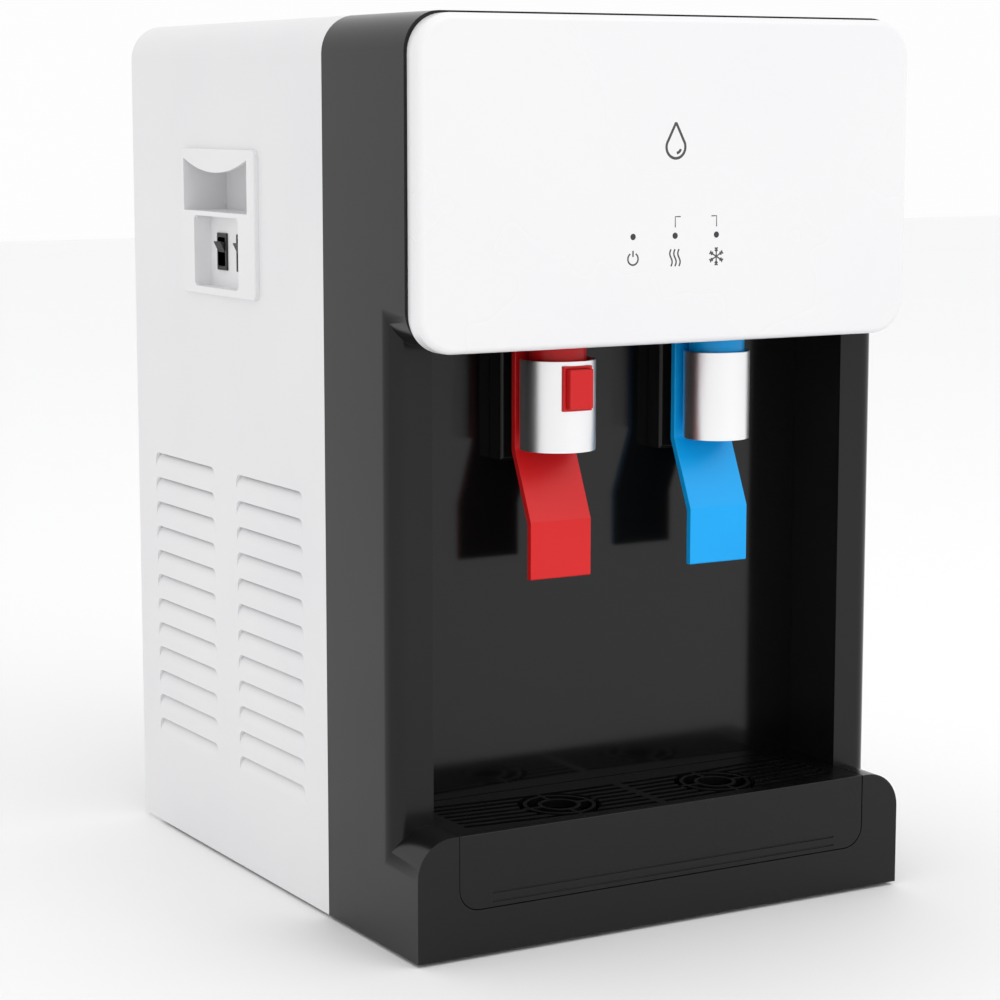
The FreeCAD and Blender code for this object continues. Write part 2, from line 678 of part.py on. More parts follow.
def rear_panel():
    """Sheet that closes the back, with vent slots low down and holes for the fittings"""
    panel = Piece("rear_panel")
    corners = rectangle(("-%s" % inner_side, pan_top), (inner_side, "overall_height - sheet_steel"),
                        "0", "corner_radius - sheet_steel")
    panel.pad("XZ", corners, "%s - sheet_steel" % panel_back, "sheet_steel")
    slot = rectangle(("vent_x - vent_width / 2", "vent_bottom"),
                     ("vent_x + vent_width / 2", "vent_bottom + vent_height"),
                     "vent_corner_radius", "vent_corner_radius")
    vent = panel.pocket("XZ", slot, "%s - sheet_steel" % panel_back, "sheet_steel")
    panel.repeat(vent, "Z", "vent_pitch", "vent_count")
    holes = [("inlet_stub_radius", "inlet_x", "inlet_height"),
             ("drain_radius", "drain_first_x", "drain_height"),
             ("drain_radius", "drain_first_x + drain_pitch", "drain_height"),
             ("gland_stub_radius", "gland_x", "gland_height")]
    holes += [("screw_radius", across, up) for across, up in screw_places]
    for radius, across, up in holes:
        panel.cut_rod(radius, "sheet_steel", (across, "%s - sheet_steel" % panel_back, up), "y")


screw_columns = ["screw_inset - %s" % inner_side, "%s - screw_inset" % inner_side]
screw_rows = ["%s + screw_inset" % pan_top, "overall_height / 2",
              "overall_height - corner_radius - screw_inset"]
screw_places = [(across, up) for across in screw_columns for up in screw_rows]


def rear_panel_screws():
    screws = []
    for number, (across, up) in enumerate(screw_places, start=1):
        head = Piece("panel_screw_%d" % number, shared=True)
        head.add_rod("screw_head_radius", "screw_head_radius / 2", (across, panel_back, up), "y")
        head.round_edges("screw_head_radius / 4",
                         lambda edge: flat_at(edge, y="%s + screw_head_radius / 2" % panel_back))
        head.add_rod("screw_radius", "screw_length", (across, "%s - screw_length" % panel_back, up), "y")
        screws.append(head.body)
    keep("rear_panel_screws", group("rear_panel_screws", screws))


def base_pan():
    """Bent sheet under the machinery, wide inside the cabinet and narrower in the front shell"""
    pan = Piece("base_pan")
    pan.add_block(("2 * %s" % inner_side, "%s - rear_recess" % cabinet_depth, "sheet_steel + pan_flange"),
                  ("-%s" % inner_side, from_front("shell_depth"), "pan_height"))
    pan.cut_block(("2 * %s - 2 * sheet_steel" % inner_side, "%s - rear_recess" % cabinet_depth, "pan_flange"),
                  ("sheet_steel - %s" % inner_side, from_front("shell_depth"), pan_top))
    pan.add_block(("overall_width - 2 * shell_wall - 2 * fit_gap", "shell_depth - shell_wall - fit_gap",
                   "sheet_steel"),
                  ("shell_wall + fit_gap - %s" % side, from_front("shell_wall + fit_gap"), "pan_height"))
    pan.cut_block(("2 * %s" % inner_side, "sheet_steel", "pan_flange"),
                  ("-%s" % inner_side, "%s - sheet_steel" % panel_back, pan_top))


def rubber_feet():
    feet = []
    for across in ("foot_inset - %s" % side, "%s - foot_inset" % side):
        for back in (from_front("foot_inset"), "%s - rear_recess - foot_inset" % rear):
            foot = doc.addObject("Part::Cone", "foot_%d" % (len(feet) + 1))
            bind(foot, Radius1="foot_radius - foot_taper", Radius2="foot_radius", Height="pan_height")
            place(foot, (across, back, "0"))
            feet.append(foot)
    keep("rubber_feet", group("rubber_feet", feet))


# The black front

def front_shell():
    """Head, two columns and base block in one moulding, open at the back"""
    shell = Piece("front_shell")
    columns = rectangle(("-%s" % side, from_front("column_setback")), (side, from_front("shell_depth")),
                        "column_edge_radius", "0")
    shell.pad("XY", columns, "foot_stand", "head_bottom + corner_radius - foot_stand")
    head = rectangle(("-%s" % side, "head_bottom"), (side, "overall_height"),
                     "corner_radius", "corner_radius")
    shell.pad("XZ", head, from_front("fascia_thickness"), "shell_depth - fascia_thickness")
    base = rectangle(("-%s" % side, "foot_stand"), (side, "base_top"), "0", "corner_radius")
    shell.pad("XZ", base, from_front("0"), "column_setback + column_edge_radius")
    bay = rectangle(("-%s" % bay_half, "tray_bottom"), (bay_half, "head_bottom"), "tray_corner_radius", "0")
    shell.pocket("XZ", bay, from_front("0"), "shell_depth")
    cavity = rectangle(("shell_wall - %s" % side, floor_top),
                       ("%s - shell_wall" % side, "overall_height - shell_wall"),
                       "0", "corner_radius - shell_wall")
    shell.pocket("XZ", cavity, from_front("column_setback + shell_wall"),
                 "shell_depth - column_setback - shell_wall")
    inner_radius = "corner_radius - shell_wall"
    head_hollow = rectangle(("shell_wall - %s" % side, floor_top),
                            ("%s - shell_wall" % side, "overall_height - shell_wall"),
                            inner_radius, inner_radius)
    shell.pocket("XZ", head_hollow, from_front("fascia_thickness + shell_wall"),
                 "column_setback - fascia_thickness")
    shell.cut_block(("overall_width - 2 * shell_wall", "shell_depth - shell_wall",
                     "tray_bottom - shell_wall - foot_stand"),
                    ("shell_wall - %s" % side, from_front("shell_wall"), "foot_stand"))
    for low in ("shell_wall - %s" % side, "%s + shell_wall" % bay_half):
        shell.cut_block(("column_width - 2 * shell_wall", "shell_depth - column_setback - shell_wall",
                         "%s - tray_bottom + shell_wall" % floor_top),
                        (low, from_front("column_setback + shell_wall"), "tray_bottom - shell_wall"))
        shell.cut_block(("column_width - 2 * shell_wall", "column_setback",
                         "base_top - corner_radius - tray_bottom"),
                        (low, from_front("shell_wall"), "tray_bottom - shell_wall"))
    for tap_x in taps.values():
        shell.cut_block(("lever_width + 2 * lever_slot_side",
                         "bracket_setback - lever_setback + lever_slot_front", "shell_wall"),
                        ("%s - lever_width / 2 - lever_slot_side" % tap_x,
                         from_front("lever_setback - lever_slot_front"), "head_bottom"))
        shell.cut_rod("valve_spigot_radius", "shell_wall", (tap_x, from_front("tap_setback"), "head_bottom"))
        for low in ("ear_gap", "-ear_gap - ear_thickness"):
            ear_y = from_front("lever_setback + lever_thickness / 2")
            shell.add_block(("ear_thickness", "2 * ear_reach", "pivot_height + ear_reach - %s" % floor_top),
                            ("%s + %s" % (tap_x, low), "%s - ear_reach" % ear_y, floor_top))
            shell.cut_rod("pivot_radius", "ear_thickness",
                          ("%s + %s" % (tap_x, low), ear_y, "pivot_height"), "x")


def bay_back_panel():
    panel = Piece("bay_back_panel")
    corners = rectangle(("-%s" % bay_half, "tray_bottom"), (bay_half, "head_bottom"),
                        "tray_corner_radius", "0")
    panel.pad("XZ", corners, from_front("bay_setback"), "bay_panel_thickness")


lens_places = ["-lens_pitch", "0", "lens_pitch"]


def fascia_panel():
    """White front panel, hollow at the back, with three light holes"""
    panel = Piece("fascia_panel")
    low = ("fascia_side_gap - %s" % side, "fascia_bottom")
    high = ("%s - fascia_side_gap" % side, "overall_height - fascia_top_gap")
    panel.pad("XZ", rectangle(low, high, "corner_radius", "corner_radius"), from_front("0"),
              "fascia_thickness")
    panel.round_edges("fascia_edge_radius", lambda edge: flat_at(edge, y=from_front("0")))
    inset_low = ("%s + fascia_wall" % low[0], "%s + fascia_wall" % low[1])
    inset_high = ("%s - fascia_wall" % high[0], "%s - fascia_wall" % high[1])
    inner_radius = "corner_radius - fascia_wall"
    panel.pocket("XZ", rectangle(inset_low, inset_high, inner_radius, inner_radius),
                 from_front("fascia_wall"), "fascia_thickness - fascia_wall")
    for across in lens_places:
        panel.cut_rod("lens_radius + pin_gap", "fascia_wall", (across, from_front("0"), "lens_height"), "y")


def indicator_lenses():
    lenses = [rod("lens_%d" % number, "lens_radius", "lens_length",
                  (across, from_front("lens_recess"), "lens_height"), "y")
              for number, across in enumerate(lens_places, start=1)]
    keep("indicator_lenses", group("indicator_lenses", lenses))


def control_board():
    low = ("-board_width / 2", from_front("lens_length + 2 * lens_recess"), "lens_height - board_height / 2")
    board = block("board_sheet", ("board_width", "board_thickness", "board_height"), low)
    board_back = from_front("lens_length + 2 * lens_recess + board_thickness")
    chip = block("board_chip", ("board_height / 3", "board_thickness", "board_height / 3"),
                 ("-board_height / 6", board_back, "lens_height - board_height / 3"))
    socket = block("board_socket", ("board_width / 4", "2 * board_thickness", "board_height / 4"),
                   ("board_width / 5", board_back, "lens_height - board_height / 3"))
    keep("control_board", fuse("control_board", [board, chip, socket]))


# Hand grips and switches

def grip_bezel(node, bottom, with_recess):
    """Bezel on the left side: a plate with a hand pocket and, where there are switches, their recess"""
    bezel = Piece(node, shared=not with_recess)
    face = "(-%s - grip_proud)" % side
    plate = rectangle((from_front("grip_front"), bottom),
                      (from_front("grip_front + grip_width"), "grip_top"),
                      "grip_corner_radius", "grip_corner_radius")
    bezel.pad("YZ", plate, face, "grip_proud")
    bezel.round_edges("grip_proud / 3", lambda edge: flat_at(edge, x=face))
    hollows = [("pocket", "pocket_depth")]
    if with_recess:
        hollows.append(("recess", "recess_depth"))
    for hollow, depth in hollows:
        bezel.add_block(("%s - grip_proud + grip_wall" % depth, "%s_width + 2 * grip_wall" % hollow,
                         "%s_height + 2 * grip_wall" % hollow),
                        ("-%s" % side, from_front("%s_front - grip_wall" % hollow),
                         "%s_bottom - grip_wall" % hollow))
    for hollow, depth in hollows:
        bezel.cut_block(("%s - grip_wall" % depth, "%s_width" % hollow, "%s_height" % hollow),
                        ("%s + grip_wall" % face, from_front("%s_front" % hollow), "%s_bottom" % hollow))
    bezel.pocket("YZ", draw_pocket_mouth, face, "grip_wall")
    if with_recess:
        recess = rectangle((from_front("recess_front"), "recess_bottom"),
                           (from_front("recess_front + recess_width"), "recess_bottom + recess_height"),
                           "recess_corner_radius", "recess_corner_radius")
        bezel.pocket("YZ", recess, face, "grip_wall")
        for offset in switch_offsets:
            bezel.cut_block(("grip_wall", "switch_width - 2 * switch_rim", "switch_tall - 2 * switch_rim"),
                            (switch_face, "%s + %s - switch_width / 2 + switch_rim" % (switch_y, offset),
                             "switch_height - switch_tall / 2 + switch_rim"))
    return bezel


def draw_pocket_mouth(sketch):
    """Mouth of the hand pocket, whose upper edge hangs down in a shallow curve at mid width"""
    left = from_front("pocket_front")
    right = from_front("pocket_front + pocket_width")
    top = "(pocket_bottom + pocket_height)"
    lip_radius = "(((pocket_width / 2) ^ 2 + lip_sag ^ 2) / (2 * lip_sag))"
    places = [FreeCAD.Vector(amount_of(across), amount_of(up), 0) for across, up in
              ((left, "pocket_bottom"), (right, "pocket_bottom"), (right, top), (left, top))]
    dip = (places[2] + places[3]) * 0.5 - FreeCAD.Vector(0, amount_of("lip_sag"), 0)
    sketch.addGeometry([Part.LineSegment(places[0], places[1]), Part.LineSegment(places[1], places[2]),
                        Part.Arc(places[3], dip, places[2]), Part.LineSegment(places[3], places[0])])
    for joined in ((0, 2, 1, 1), (1, 2, 2, 2), (2, 1, 3, 1), (3, 2, 0, 1)):
        sketch.addConstraint(Sketcher.Constraint("Coincident", *joined))
    for line, text in ((0, left), (1, right), (3, left)):
        fixed = sketch.addConstraint(Sketcher.Constraint("DistanceX", -1, 1, line, 1, amount_of(text)))
        sketch.setExpression("Constraints[%d]" % fixed, formula(text))
    for line, text in ((0, "pocket_bottom"), (1, "pocket_bottom"), (3, top)):
        fixed = sketch.addConstraint(Sketcher.Constraint("DistanceY", -1, 1, line, 1, amount_of(text)))
        sketch.setExpression("Constraints[%d]" % fixed, formula(text))
    sketch.addConstraint(Sketcher.Constraint("Vertical", 1))
    rounding = sketch.addConstraint(Sketcher.Constraint("Radius", 2, amount_of(lip_radius)))
    sketch.setExpression("Constraints[%d]" % rounding, formula(lip_radius))
    level = sketch.addConstraint(Sketcher.Constraint("DistanceY", -1, 1, 1, 2, amount_of(top)))
    sketch.setExpression("Constraints[%d]" % level, formula(top))


switch_face = "(recess_depth - grip_proud - %s)" % side
switch_y = from_front("recess_front + recess_width / 2")
switch_offsets = ["-switch_pitch / 2", "switch_pitch / 2"]


def switch_housing(name, offset):
    """Flanged box in the recess wall, open at the front, with holes for the rocker's stub axles"""
    housing = Piece(name, shared=True)
    middle = "(%s + %s)" % (switch_y, offset)
    wide = "(switch_width - 2 * switch_rim)"
    tall = "(switch_tall - 2 * switch_rim)"
    housing.add_block(("switch_flange", "switch_width", "switch_tall"),
                      ("%s - switch_flange" % switch_face, "%s - switch_width / 2" % middle,
                       "switch_height - switch_tall / 2"))
    housing.round_edges("switch_flange / 2",
                        lambda edge: flat_at(edge, x="%s - switch_flange" % switch_face))
    housing.add_block(("switch_body_depth", wide, tall),
                      (switch_face, "%s - %s / 2" % (middle, wide), "switch_height - %s / 2" % tall))
    housing.cut_block(("switch_flange + switch_body_depth / 2 + rocker_rise",
                       "rocker_width + 2 * fit_gap", "2 * rocker_half + 4 * fit_gap"),
                      ("%s - switch_flange" % switch_face, "%s - rocker_width / 2 - fit_gap" % middle,
                       "switch_height - rocker_half - 2 * fit_gap"))
    housing.cut_rod("rocker_axle_radius + pin_gap", wide,
                    (rocker_pivot_x, "%s - %s / 2" % (middle, wide), "switch_height"), "y")
    return housing.body


rocker_pivot_x = "(%s + 3 * rocker_axle_radius)" % switch_face


def switch_rocker(node, offset):
    """Shallow V that rocks about stub axles, drawn level and turned to its first position"""
    rocker = Piece(node)
    reach = "(4 * rocker_axle_radius)"
    profile = [("-%s" % reach, "0", "0"), ("-%s - rocker_rise" % reach, "rocker_half", "rocker_rise / 4"),
               ("rocker_axle_radius", "rocker_half / 2", "rocker_axle_radius"),
               ("rocker_axle_radius", "-rocker_half / 2", "rocker_axle_radius"),
               ("-%s - rocker_rise" % reach, "-rocker_half", "rocker_rise / 4")]
    rocker.pad("XZ", profile, "-rocker_width / 2", "rocker_width")
    rocker.add_rod("rocker_axle_radius", "rocker_width + 3 * fit_gap",
                   ("0", "-rocker_width / 2 - 1.5 * fit_gap", "0"), "y")
    tilt = amount_of("rocker_tilt")
    turn = FreeCAD.Rotation(FreeCAD.Vector(0, 1, 0), -tilt)
    rocker.body.Placement = FreeCAD.Placement(FreeCAD.Vector(), turn)
    for letter, text in zip("xyz", (rocker_pivot_x, "%s + %s" % (switch_y, offset), "switch_height")):
        rocker.body.setExpression("Placement.Base." + letter, formula(text))


# Taps

def tap_sleeve(tap, tap_x):
    """Metal sleeve round the front of the tap body, open at the back"""
    node = tap + "_tap_sleeve"
    outer = tap + "_sleeve_radius"
    height = "(sleeve_top - sleeve_bottom)"
    at = (tap_x, from_front("tap_setback"), "sleeve_bottom")
    tools = [rod(node + "_inside", outer + " - sleeve_wall", height, at), behind_tap(node, tap_x)]
    if tap == "hot":
        tools.append(lock_opening(node, "lock_border"))
    keep(node, cut(node, rod(node + "_outside", outer, height, at), tools))


def behind_tap(node, tap_x):
    """Everything further back than the sleeve and the tap body reach"""
    return block(node + "_behind", ("4 * core_radius", "2 * core_radius", "overall_height"),
                 ("%s - 2 * core_radius" % tap_x, from_front("tap_setback + tap_rear_cut"), "0"))


def lock_opening(node, border):
    return block(node + "_lock_opening",
                 ("lock_width + 2 * %s" % border, "lock_frame_setback", "lock_tall + 2 * %s" % border),
                 ("%s - lock_width / 2 - %s" % (taps["hot"], border), from_front("lock_setback"),
                  "lock_height - lock_tall / 2 - %s" % border))


def tap_body(tap, tap_x):
    """Coloured core with a collar that carries the sleeve and a water way down the middle"""
    node = tap + "_tap_body"
    y = from_front("tap_setback")
    bottom = "(sleeve_bottom + core_rise)"
    core = rod(node + "_core", "core_radius", "head_bottom - %s" % bottom, (tap_x, y, bottom))
    collar = rod(node + "_collar", tap + "_sleeve_radius - sleeve_wall", "collar_height",
                 (tap_x, y, bottom))
    tools = [rod(node + "_water_way", "water_bore", "head_bottom - %s" % bottom, (tap_x, y, bottom)),
             behind_tap(node, tap_x)]
    if tap == "hot":
        frame_back = "lock_frame_setback + lock_frame_length"
        well_back = "lock_setback + lock_length + lock_well"
        tools.append(block(node + "_frame_seat",
                           ("lock_width + 2 * lock_border", frame_back, "lock_tall + 2 * lock_border"),
                           ("%s - lock_width / 2 - lock_border" % tap_x, from_front("0"),
                            "lock_height - lock_tall / 2 - lock_border")))
        tools.append(rod(node + "_spring_well", "lock_spring_radius + 2 * spring_wire_radius", well_back,
                         (tap_x, from_front("0"), "lock_height"), "y"))
    keep(node, cut(node, fuse(node + "_solid", [core, collar]), tools))


def tap_nozzles():
    nozzles = [tube(tap + "_tap_nozzle", "nozzle_radius", "water_bore", "core_rise + nozzle_recess",
                    (tap_x, from_front("tap_setback"), "sleeve_bottom - nozzle_recess"))
               for tap, tap_x in taps.items()]
    keep("tap_nozzles", group("tap_nozzles", nozzles))


def tap_valve(tap, tap_x):
    """Valve block on the head floor: spigot down into the tap, port at the top, plunger at the back"""
    valve = Piece(tap + "_tap_valve")
    y = from_front("tap_setback")
    valve.add_block(("valve_width", "valve_length", "valve_height"),
                    ("%s - valve_width / 2" % tap_x, "%s - valve_length + tap_rear_cut" % y, floor_top))
    valve.round_edges("valve_edge_radius", lambda edge: flat_at(edge, z="%s + valve_height" % floor_top))
    valve.add_rod("valve_spigot_radius", "shell_wall", (tap_x, y, "head_bottom"))
    valve.add_rod("valve_spigot_radius", "valve_spigot_radius", (tap_x, y, "%s + valve_height" % floor_top))
    valve.cut_rod("water_bore", "shell_wall + valve_height / 3", (tap_x, y, "head_bottom"))
    valve.cut_rod("plunger_radius + pin_gap", "plunger_depth + plunger_room",
                  (tap_x, "%s + tap_rear_cut - plunger_depth - plunger_room" % y, plunger_height), "y")


plunger_height = "(%s + valve_height - plunger_drop)" % floor_top


def valve_plunger(tap, tap_x):
    node = tap + "_valve_plunger"
    plunger = Piece(node)
    valve_back = "(tap_setback + tap_rear_cut)"
    plunger.add_rod("plunger_radius", "lever_setback - fit_gap - %s + plunger_depth" % valve_back,
                    (tap_x, from_front("%s - plunger_depth" % valve_back), plunger_height), "y")
    plunger.round_edges("plunger_radius / 3",
                        lambda edge: flat_at(edge, y=from_front("lever_setback - fit_gap")))


def tap_brackets():
    brackets = []
    for tap, tap_x in taps.items():
        bracket = Piece(tap + "_tap_bracket", shared=True)
        bracket.add_block(("bracket_width", "bay_setback - bracket_setback", "head_bottom - bracket_bottom"),
                          ("%s - bracket_width / 2" % tap_x, from_front("bracket_setback"), "bracket_bottom"))
        bracket.chamfer_edges("bracket_chamfer", lambda edge: flat_at(edge, y=from_front("bracket_setback"))
                              and not flat_at(edge, z="head_bottom"))
        brackets.append(bracket.body)
    keep("tap_brackets", group("tap_brackets", brackets))


def lever(tap, tap_x):
    """Bent blade that hangs from its pin: upright inside the bay, sloping forward, then a tab to push"""
    blade = Piece(tap + "_lever")
    upright = from_front("lever_setback")
    upright_back = from_front("lever_setback + lever_thickness")
    tab = from_front("lever_tab_setback")
    tab_back = from_front("lever_tab_setback + lever_thickness")
    drop = "lever_thickness / 4"
    profile = [(upright, "lever_top", "0"), (upright, "lever_bend_top", "2 * lever_bend_radius"),
               (tab, "lever_bend_bottom", "lever_bend_radius"), (tab, "lever_bottom", "lever_thickness / 4"),
               (tab_back, "lever_bottom", "lever_thickness / 4"),
               (tab_back, "lever_bend_bottom - %s" % drop, "2 * lever_bend_radius"),
               (upright_back, "lever_bend_top - %s" % drop, "lever_bend_radius"),
               (upright_back, "lever_top", "0")]
    blade.pad("YZ", profile, "%s - lever_width / 2" % tap_x, "lever_width")
    cheek = "((lever_width - lever_neck_width) / 2)"
    for low in ("-lever_width / 2", "lever_neck_width / 2"):
        blade.cut_block((cheek, "2 * lever_thickness", "lever_top - %s" % floor_top),
                        ("%s + %s" % (tap_x, low), from_front("lever_setback - lever_thickness / 2"),
                         floor_top))
    pivot_y = from_front("lever_setback + lever_thickness / 2")
    hub_at = ("%s - lever_neck_width / 2" % tap_x, pivot_y, "pivot_height")
    blade.add_rod("hub_radius", "lever_neck_width", hub_at, "x")
    blade.cut_rod("pivot_radius + pin_gap", "lever_neck_width", hub_at, "x")


def lever_pins():
    reach = "(ear_gap + ear_thickness)"
    pins = [rod(tap + "_lever_pin", "pivot_radius", "2 * %s" % reach,
                ("%s - %s" % (tap_x, reach), from_front("lever_setback + lever_thickness / 2"),
                 "pivot_height"), "x")
            for tap, tap_x in taps.items()]
    keep("lever_pins", group("lever_pins", pins))


def lever_springs():
    length = "ear_gap - lever_neck_width / 2 - fit_gap - 2 * spring_wire_radius"
    coils = [coil("%s_lever_spring" % tap, "lever_spring_radius", "spring_wire_radius", "lever_spring_pitch",
                  length,
                  ("%s + lever_neck_width / 2 + fit_gap + spring_wire_radius" % tap_x,
                   from_front("lever_setback + lever_thickness / 2"), "pivot_height"), "x")
             for tap, tap_x in taps.items()]
    keep("lever_springs", group("lever_springs", coils))


def lock_frame():
    frame_low = ("%s - lock_width / 2 - lock_border" % taps["hot"], from_front("lock_frame_setback"),
                 "lock_height - lock_tall / 2 - lock_border")
    outside = block("lock_frame_outside",
                    ("lock_width + 2 * lock_border", "lock_frame_length", "lock_tall + 2 * lock_border"),
                    frame_low)
    hole = block("lock_frame_hole", ("lock_width + fit_gap", "lock_frame_length", "lock_tall + fit_gap"),
                 ("%s - (lock_width + fit_gap) / 2" % taps["hot"], from_front("lock_frame_setback"),
                  "lock_height - (lock_tall + fit_gap) / 2"))
    keep("lock_frame", cut("lock_frame", outside, [hole]))


def lock_button():
    button = Piece("lock_button")
    button.add_block(("lock_width", "lock_length", "lock_tall"),
                     ("%s - lock_width / 2" % taps["hot"], from_front("lock_setback"),
                      "lock_height - lock_tall / 2"))
    button.round_edges("lock_edge_radius", lambda edge: flat_at(edge, y=from_front("lock_setback")))


def lock_spring():
    front = from_front("lock_setback + lock_length + fit_gap + spring_wire_radius")
    keep("lock_spring", coil("lock_spring", "lock_spring_radius", "spring_wire_radius", "lock_spring_pitch",
                             "lock_well - fit_gap - 2 * spring_wire_radius",
                             (taps["hot"], front, "lock_height"), "y"))


# Drip tray and grille

grille_seat = "(base_top - grille_thickness)"


def drip_tray():
    """Basin with a front that fills the opening in the base, and a step for the grille"""
    tray = Piece("drip_tray")
    half = "(%s - fit_gap)" % bay_half
    low = ("-%s" % half, "tray_bottom + fit_gap")
    tray.pad("XZ", rectangle(low, (half, "base_top"), "tray_corner_radius - fit_gap", "0"),
             from_front("0"), "bay_setback - fit_gap")
    tray.round_edges("tray_wall / 4", lambda edge: flat_at(edge, y=from_front("0")))
    tray.cut_block(("2 * %s" % half, "bay_setback", "grille_thickness"),
                   ("-%s" % half, from_front("tray_front_wall"), grille_seat))
    basin = rectangle(("tray_wall - %s" % half, "tray_bottom + fit_gap + tray_wall"),
                      ("%s - tray_wall" % half, grille_seat), "tray_corner_radius - fit_gap - tray_wall", "0")
    tray.pocket("XZ", basin, from_front("tray_front_wall"),
                "bay_setback - fit_gap - tray_front_wall - tray_wall")
    groove = tray.cut_block(("overall_width - 2 * groove_margin", "groove_depth", "groove_height"),
                            ("groove_margin - %s" % side, from_front("0"),
                             "groove_bottom - groove_height / 2"))
    tray.repeat(groove, "Z", "groove_pitch", "groove_count")


def drip_grille():
    """Plate with curved slots in two halves, and two rings on spokes under the taps"""
    half = "(%s - 2 * fit_gap)" % bay_half
    front = "(tray_front_wall + fit_gap)"
    length = "(bay_setback - tray_front_wall - 3 * fit_gap)"
    plate = block("grille_plate", ("2 * %s" % half, length, "grille_thickness"),
                  ("-%s" % half, from_front(front), grille_seat))
    windows = []
    for number, low in enumerate(("slot_side_margin - %s" % half, "grille_spine / 2"), start=1):
        windows.append(block("grille_window_%d" % number,
                             ("%s - slot_side_margin - grille_spine / 2" % half, "bay_setback",
                              "grille_thickness"), (low, from_front("0"), grille_seat)))
    slot_field = group("grille_windows", windows)
    slots = []
    for number in range(round(amount_of("slot_count"))):
        middle = "(slot_first + %d * slat_pitch)" % number
        centre = ("0", from_front("%s + slat_bow_radius" % middle), grille_seat)
        name = "grille_slot_%d" % (number + 1)
        ring = tube(name + "_ring", "slat_bow_radius + slot_width / 2", "slat_bow_radius - slot_width / 2",
                    "grille_thickness", centre)
        slots.append(common(name, slot_field, ring))
    targets = []
    rings = []
    for tap, tap_x in taps.items():
        at = (tap_x, from_front("target_setback"), grille_seat)
        targets.append(rod("grille_target_" + tap, "target_clear_radius", "grille_thickness", at))
        for ring in ("outer", "inner"):
            radius = "target_%s_radius" % ring
            rings.append(tube("grille_%s_ring_%s" % (ring, tap), "%s + target_bar / 2" % radius,
                              "%s - target_bar / 2" % radius, "grille_thickness", at))
        for name, wide, long in (("across", "(2 * target_clear_radius)", "target_bar"),
                                 ("along", "target_bar", "(2 * target_clear_radius)")):
            arm = block("grille_arm_%s_%s" % (name, tap), (wide, long, "grille_thickness"),
                        ("%s - %s / 2" % (tap_x, wide), from_front("target_setback - %s / 2" % long),
                         grille_seat))
            hub = rod("grille_arm_gap_%s_%s" % (name, tap), "target_inner_radius", "grille_thickness", at)
            rings.append(cut("grille_spokes_%s_%s" % (name, tap), arm, [hub]))
    openings = fuse("grille_openings", slots + targets)
    keep("drip_grille", fuse("drip_grille", [cut("grille_field", plate, [openings])] + rings))


# Tanks

def tank_shelf():
    """Sheet bent down at both ends to stand on the base pan, with a hole for the filtered water"""
    shelf = Piece("tank_shelf")
    half = "(%s - louvre_depth - shelf_gap)" % inner_side
    front = from_front("shell_depth + shelf_gap")
    length = "(%s - rear_recess - sheet_steel - 2 * shelf_gap)" % cabinet_depth
    shelf.add_block(("2 * %s" % half, length, "tank_floor - %s" % pan_top), ("-%s" % half, front, pan_top))
    shelf.cut_block(("2 * %s - 2 * sheet_steel" % half, length, "tank_floor - sheet_steel - %s" % pan_top),
                    ("sheet_steel - %s" % half, front, pan_top))
    shelf.cut_rod("feed_tube_radius + fit_gap", "sheet_steel",
                  ("feed_x", "filter_y", "tank_floor - sheet_steel"))


def hot_tank():
    at = ("hot_tank_x", "hot_tank_y", "tank_floor")
    port_height = "(hot_tank_height + thermostat_height)"
    shell = fuse("hot_tank_solid", [rod("hot_tank_shell", "hot_tank_radius", "hot_tank_height", at),
                                    rod("hot_tank_port", "water_bore + tank_wall", port_height, at)])
    inside = rod("hot_tank_inside", "hot_tank_radius - tank_wall", "hot_tank_height - 2 * tank_wall",
                 ("hot_tank_x", "hot_tank_y", "tank_floor + tank_wall"))
    bore = rod("hot_tank_bore", "water_bore", "%s - tank_wall" % port_height,
               ("hot_tank_x", "hot_tank_y", "tank_floor + tank_wall"))
    keep("hot_tank", cut("hot_tank", shell, [inside, bore]))
    keep("band_heater", tube("band_heater", "hot_tank_radius + heater_thickness", "hot_tank_radius",
                             "heater_height",
                             ("hot_tank_x", "hot_tank_y", "tank_floor + heater_height / 2")))
    jacket_bore = "(hot_tank_radius + heater_thickness)"
    keep("hot_tank_jacket", tube("hot_tank_jacket", "%s + jacket_thickness" % jacket_bore, jacket_bore,
                                 "hot_tank_height", at))
    spacing = "(2.5 * thermostat_radius)"
    discs = [rod("thermostat_%d" % number, "thermostat_radius", "thermostat_height",
                 ("hot_tank_x %s %s" % (way, spacing), "hot_tank_y", "tank_floor + hot_tank_height"))
             for number, way in enumerate("-+", start=1)]
    keep("tank_thermostats", group("tank_thermostats", discs))


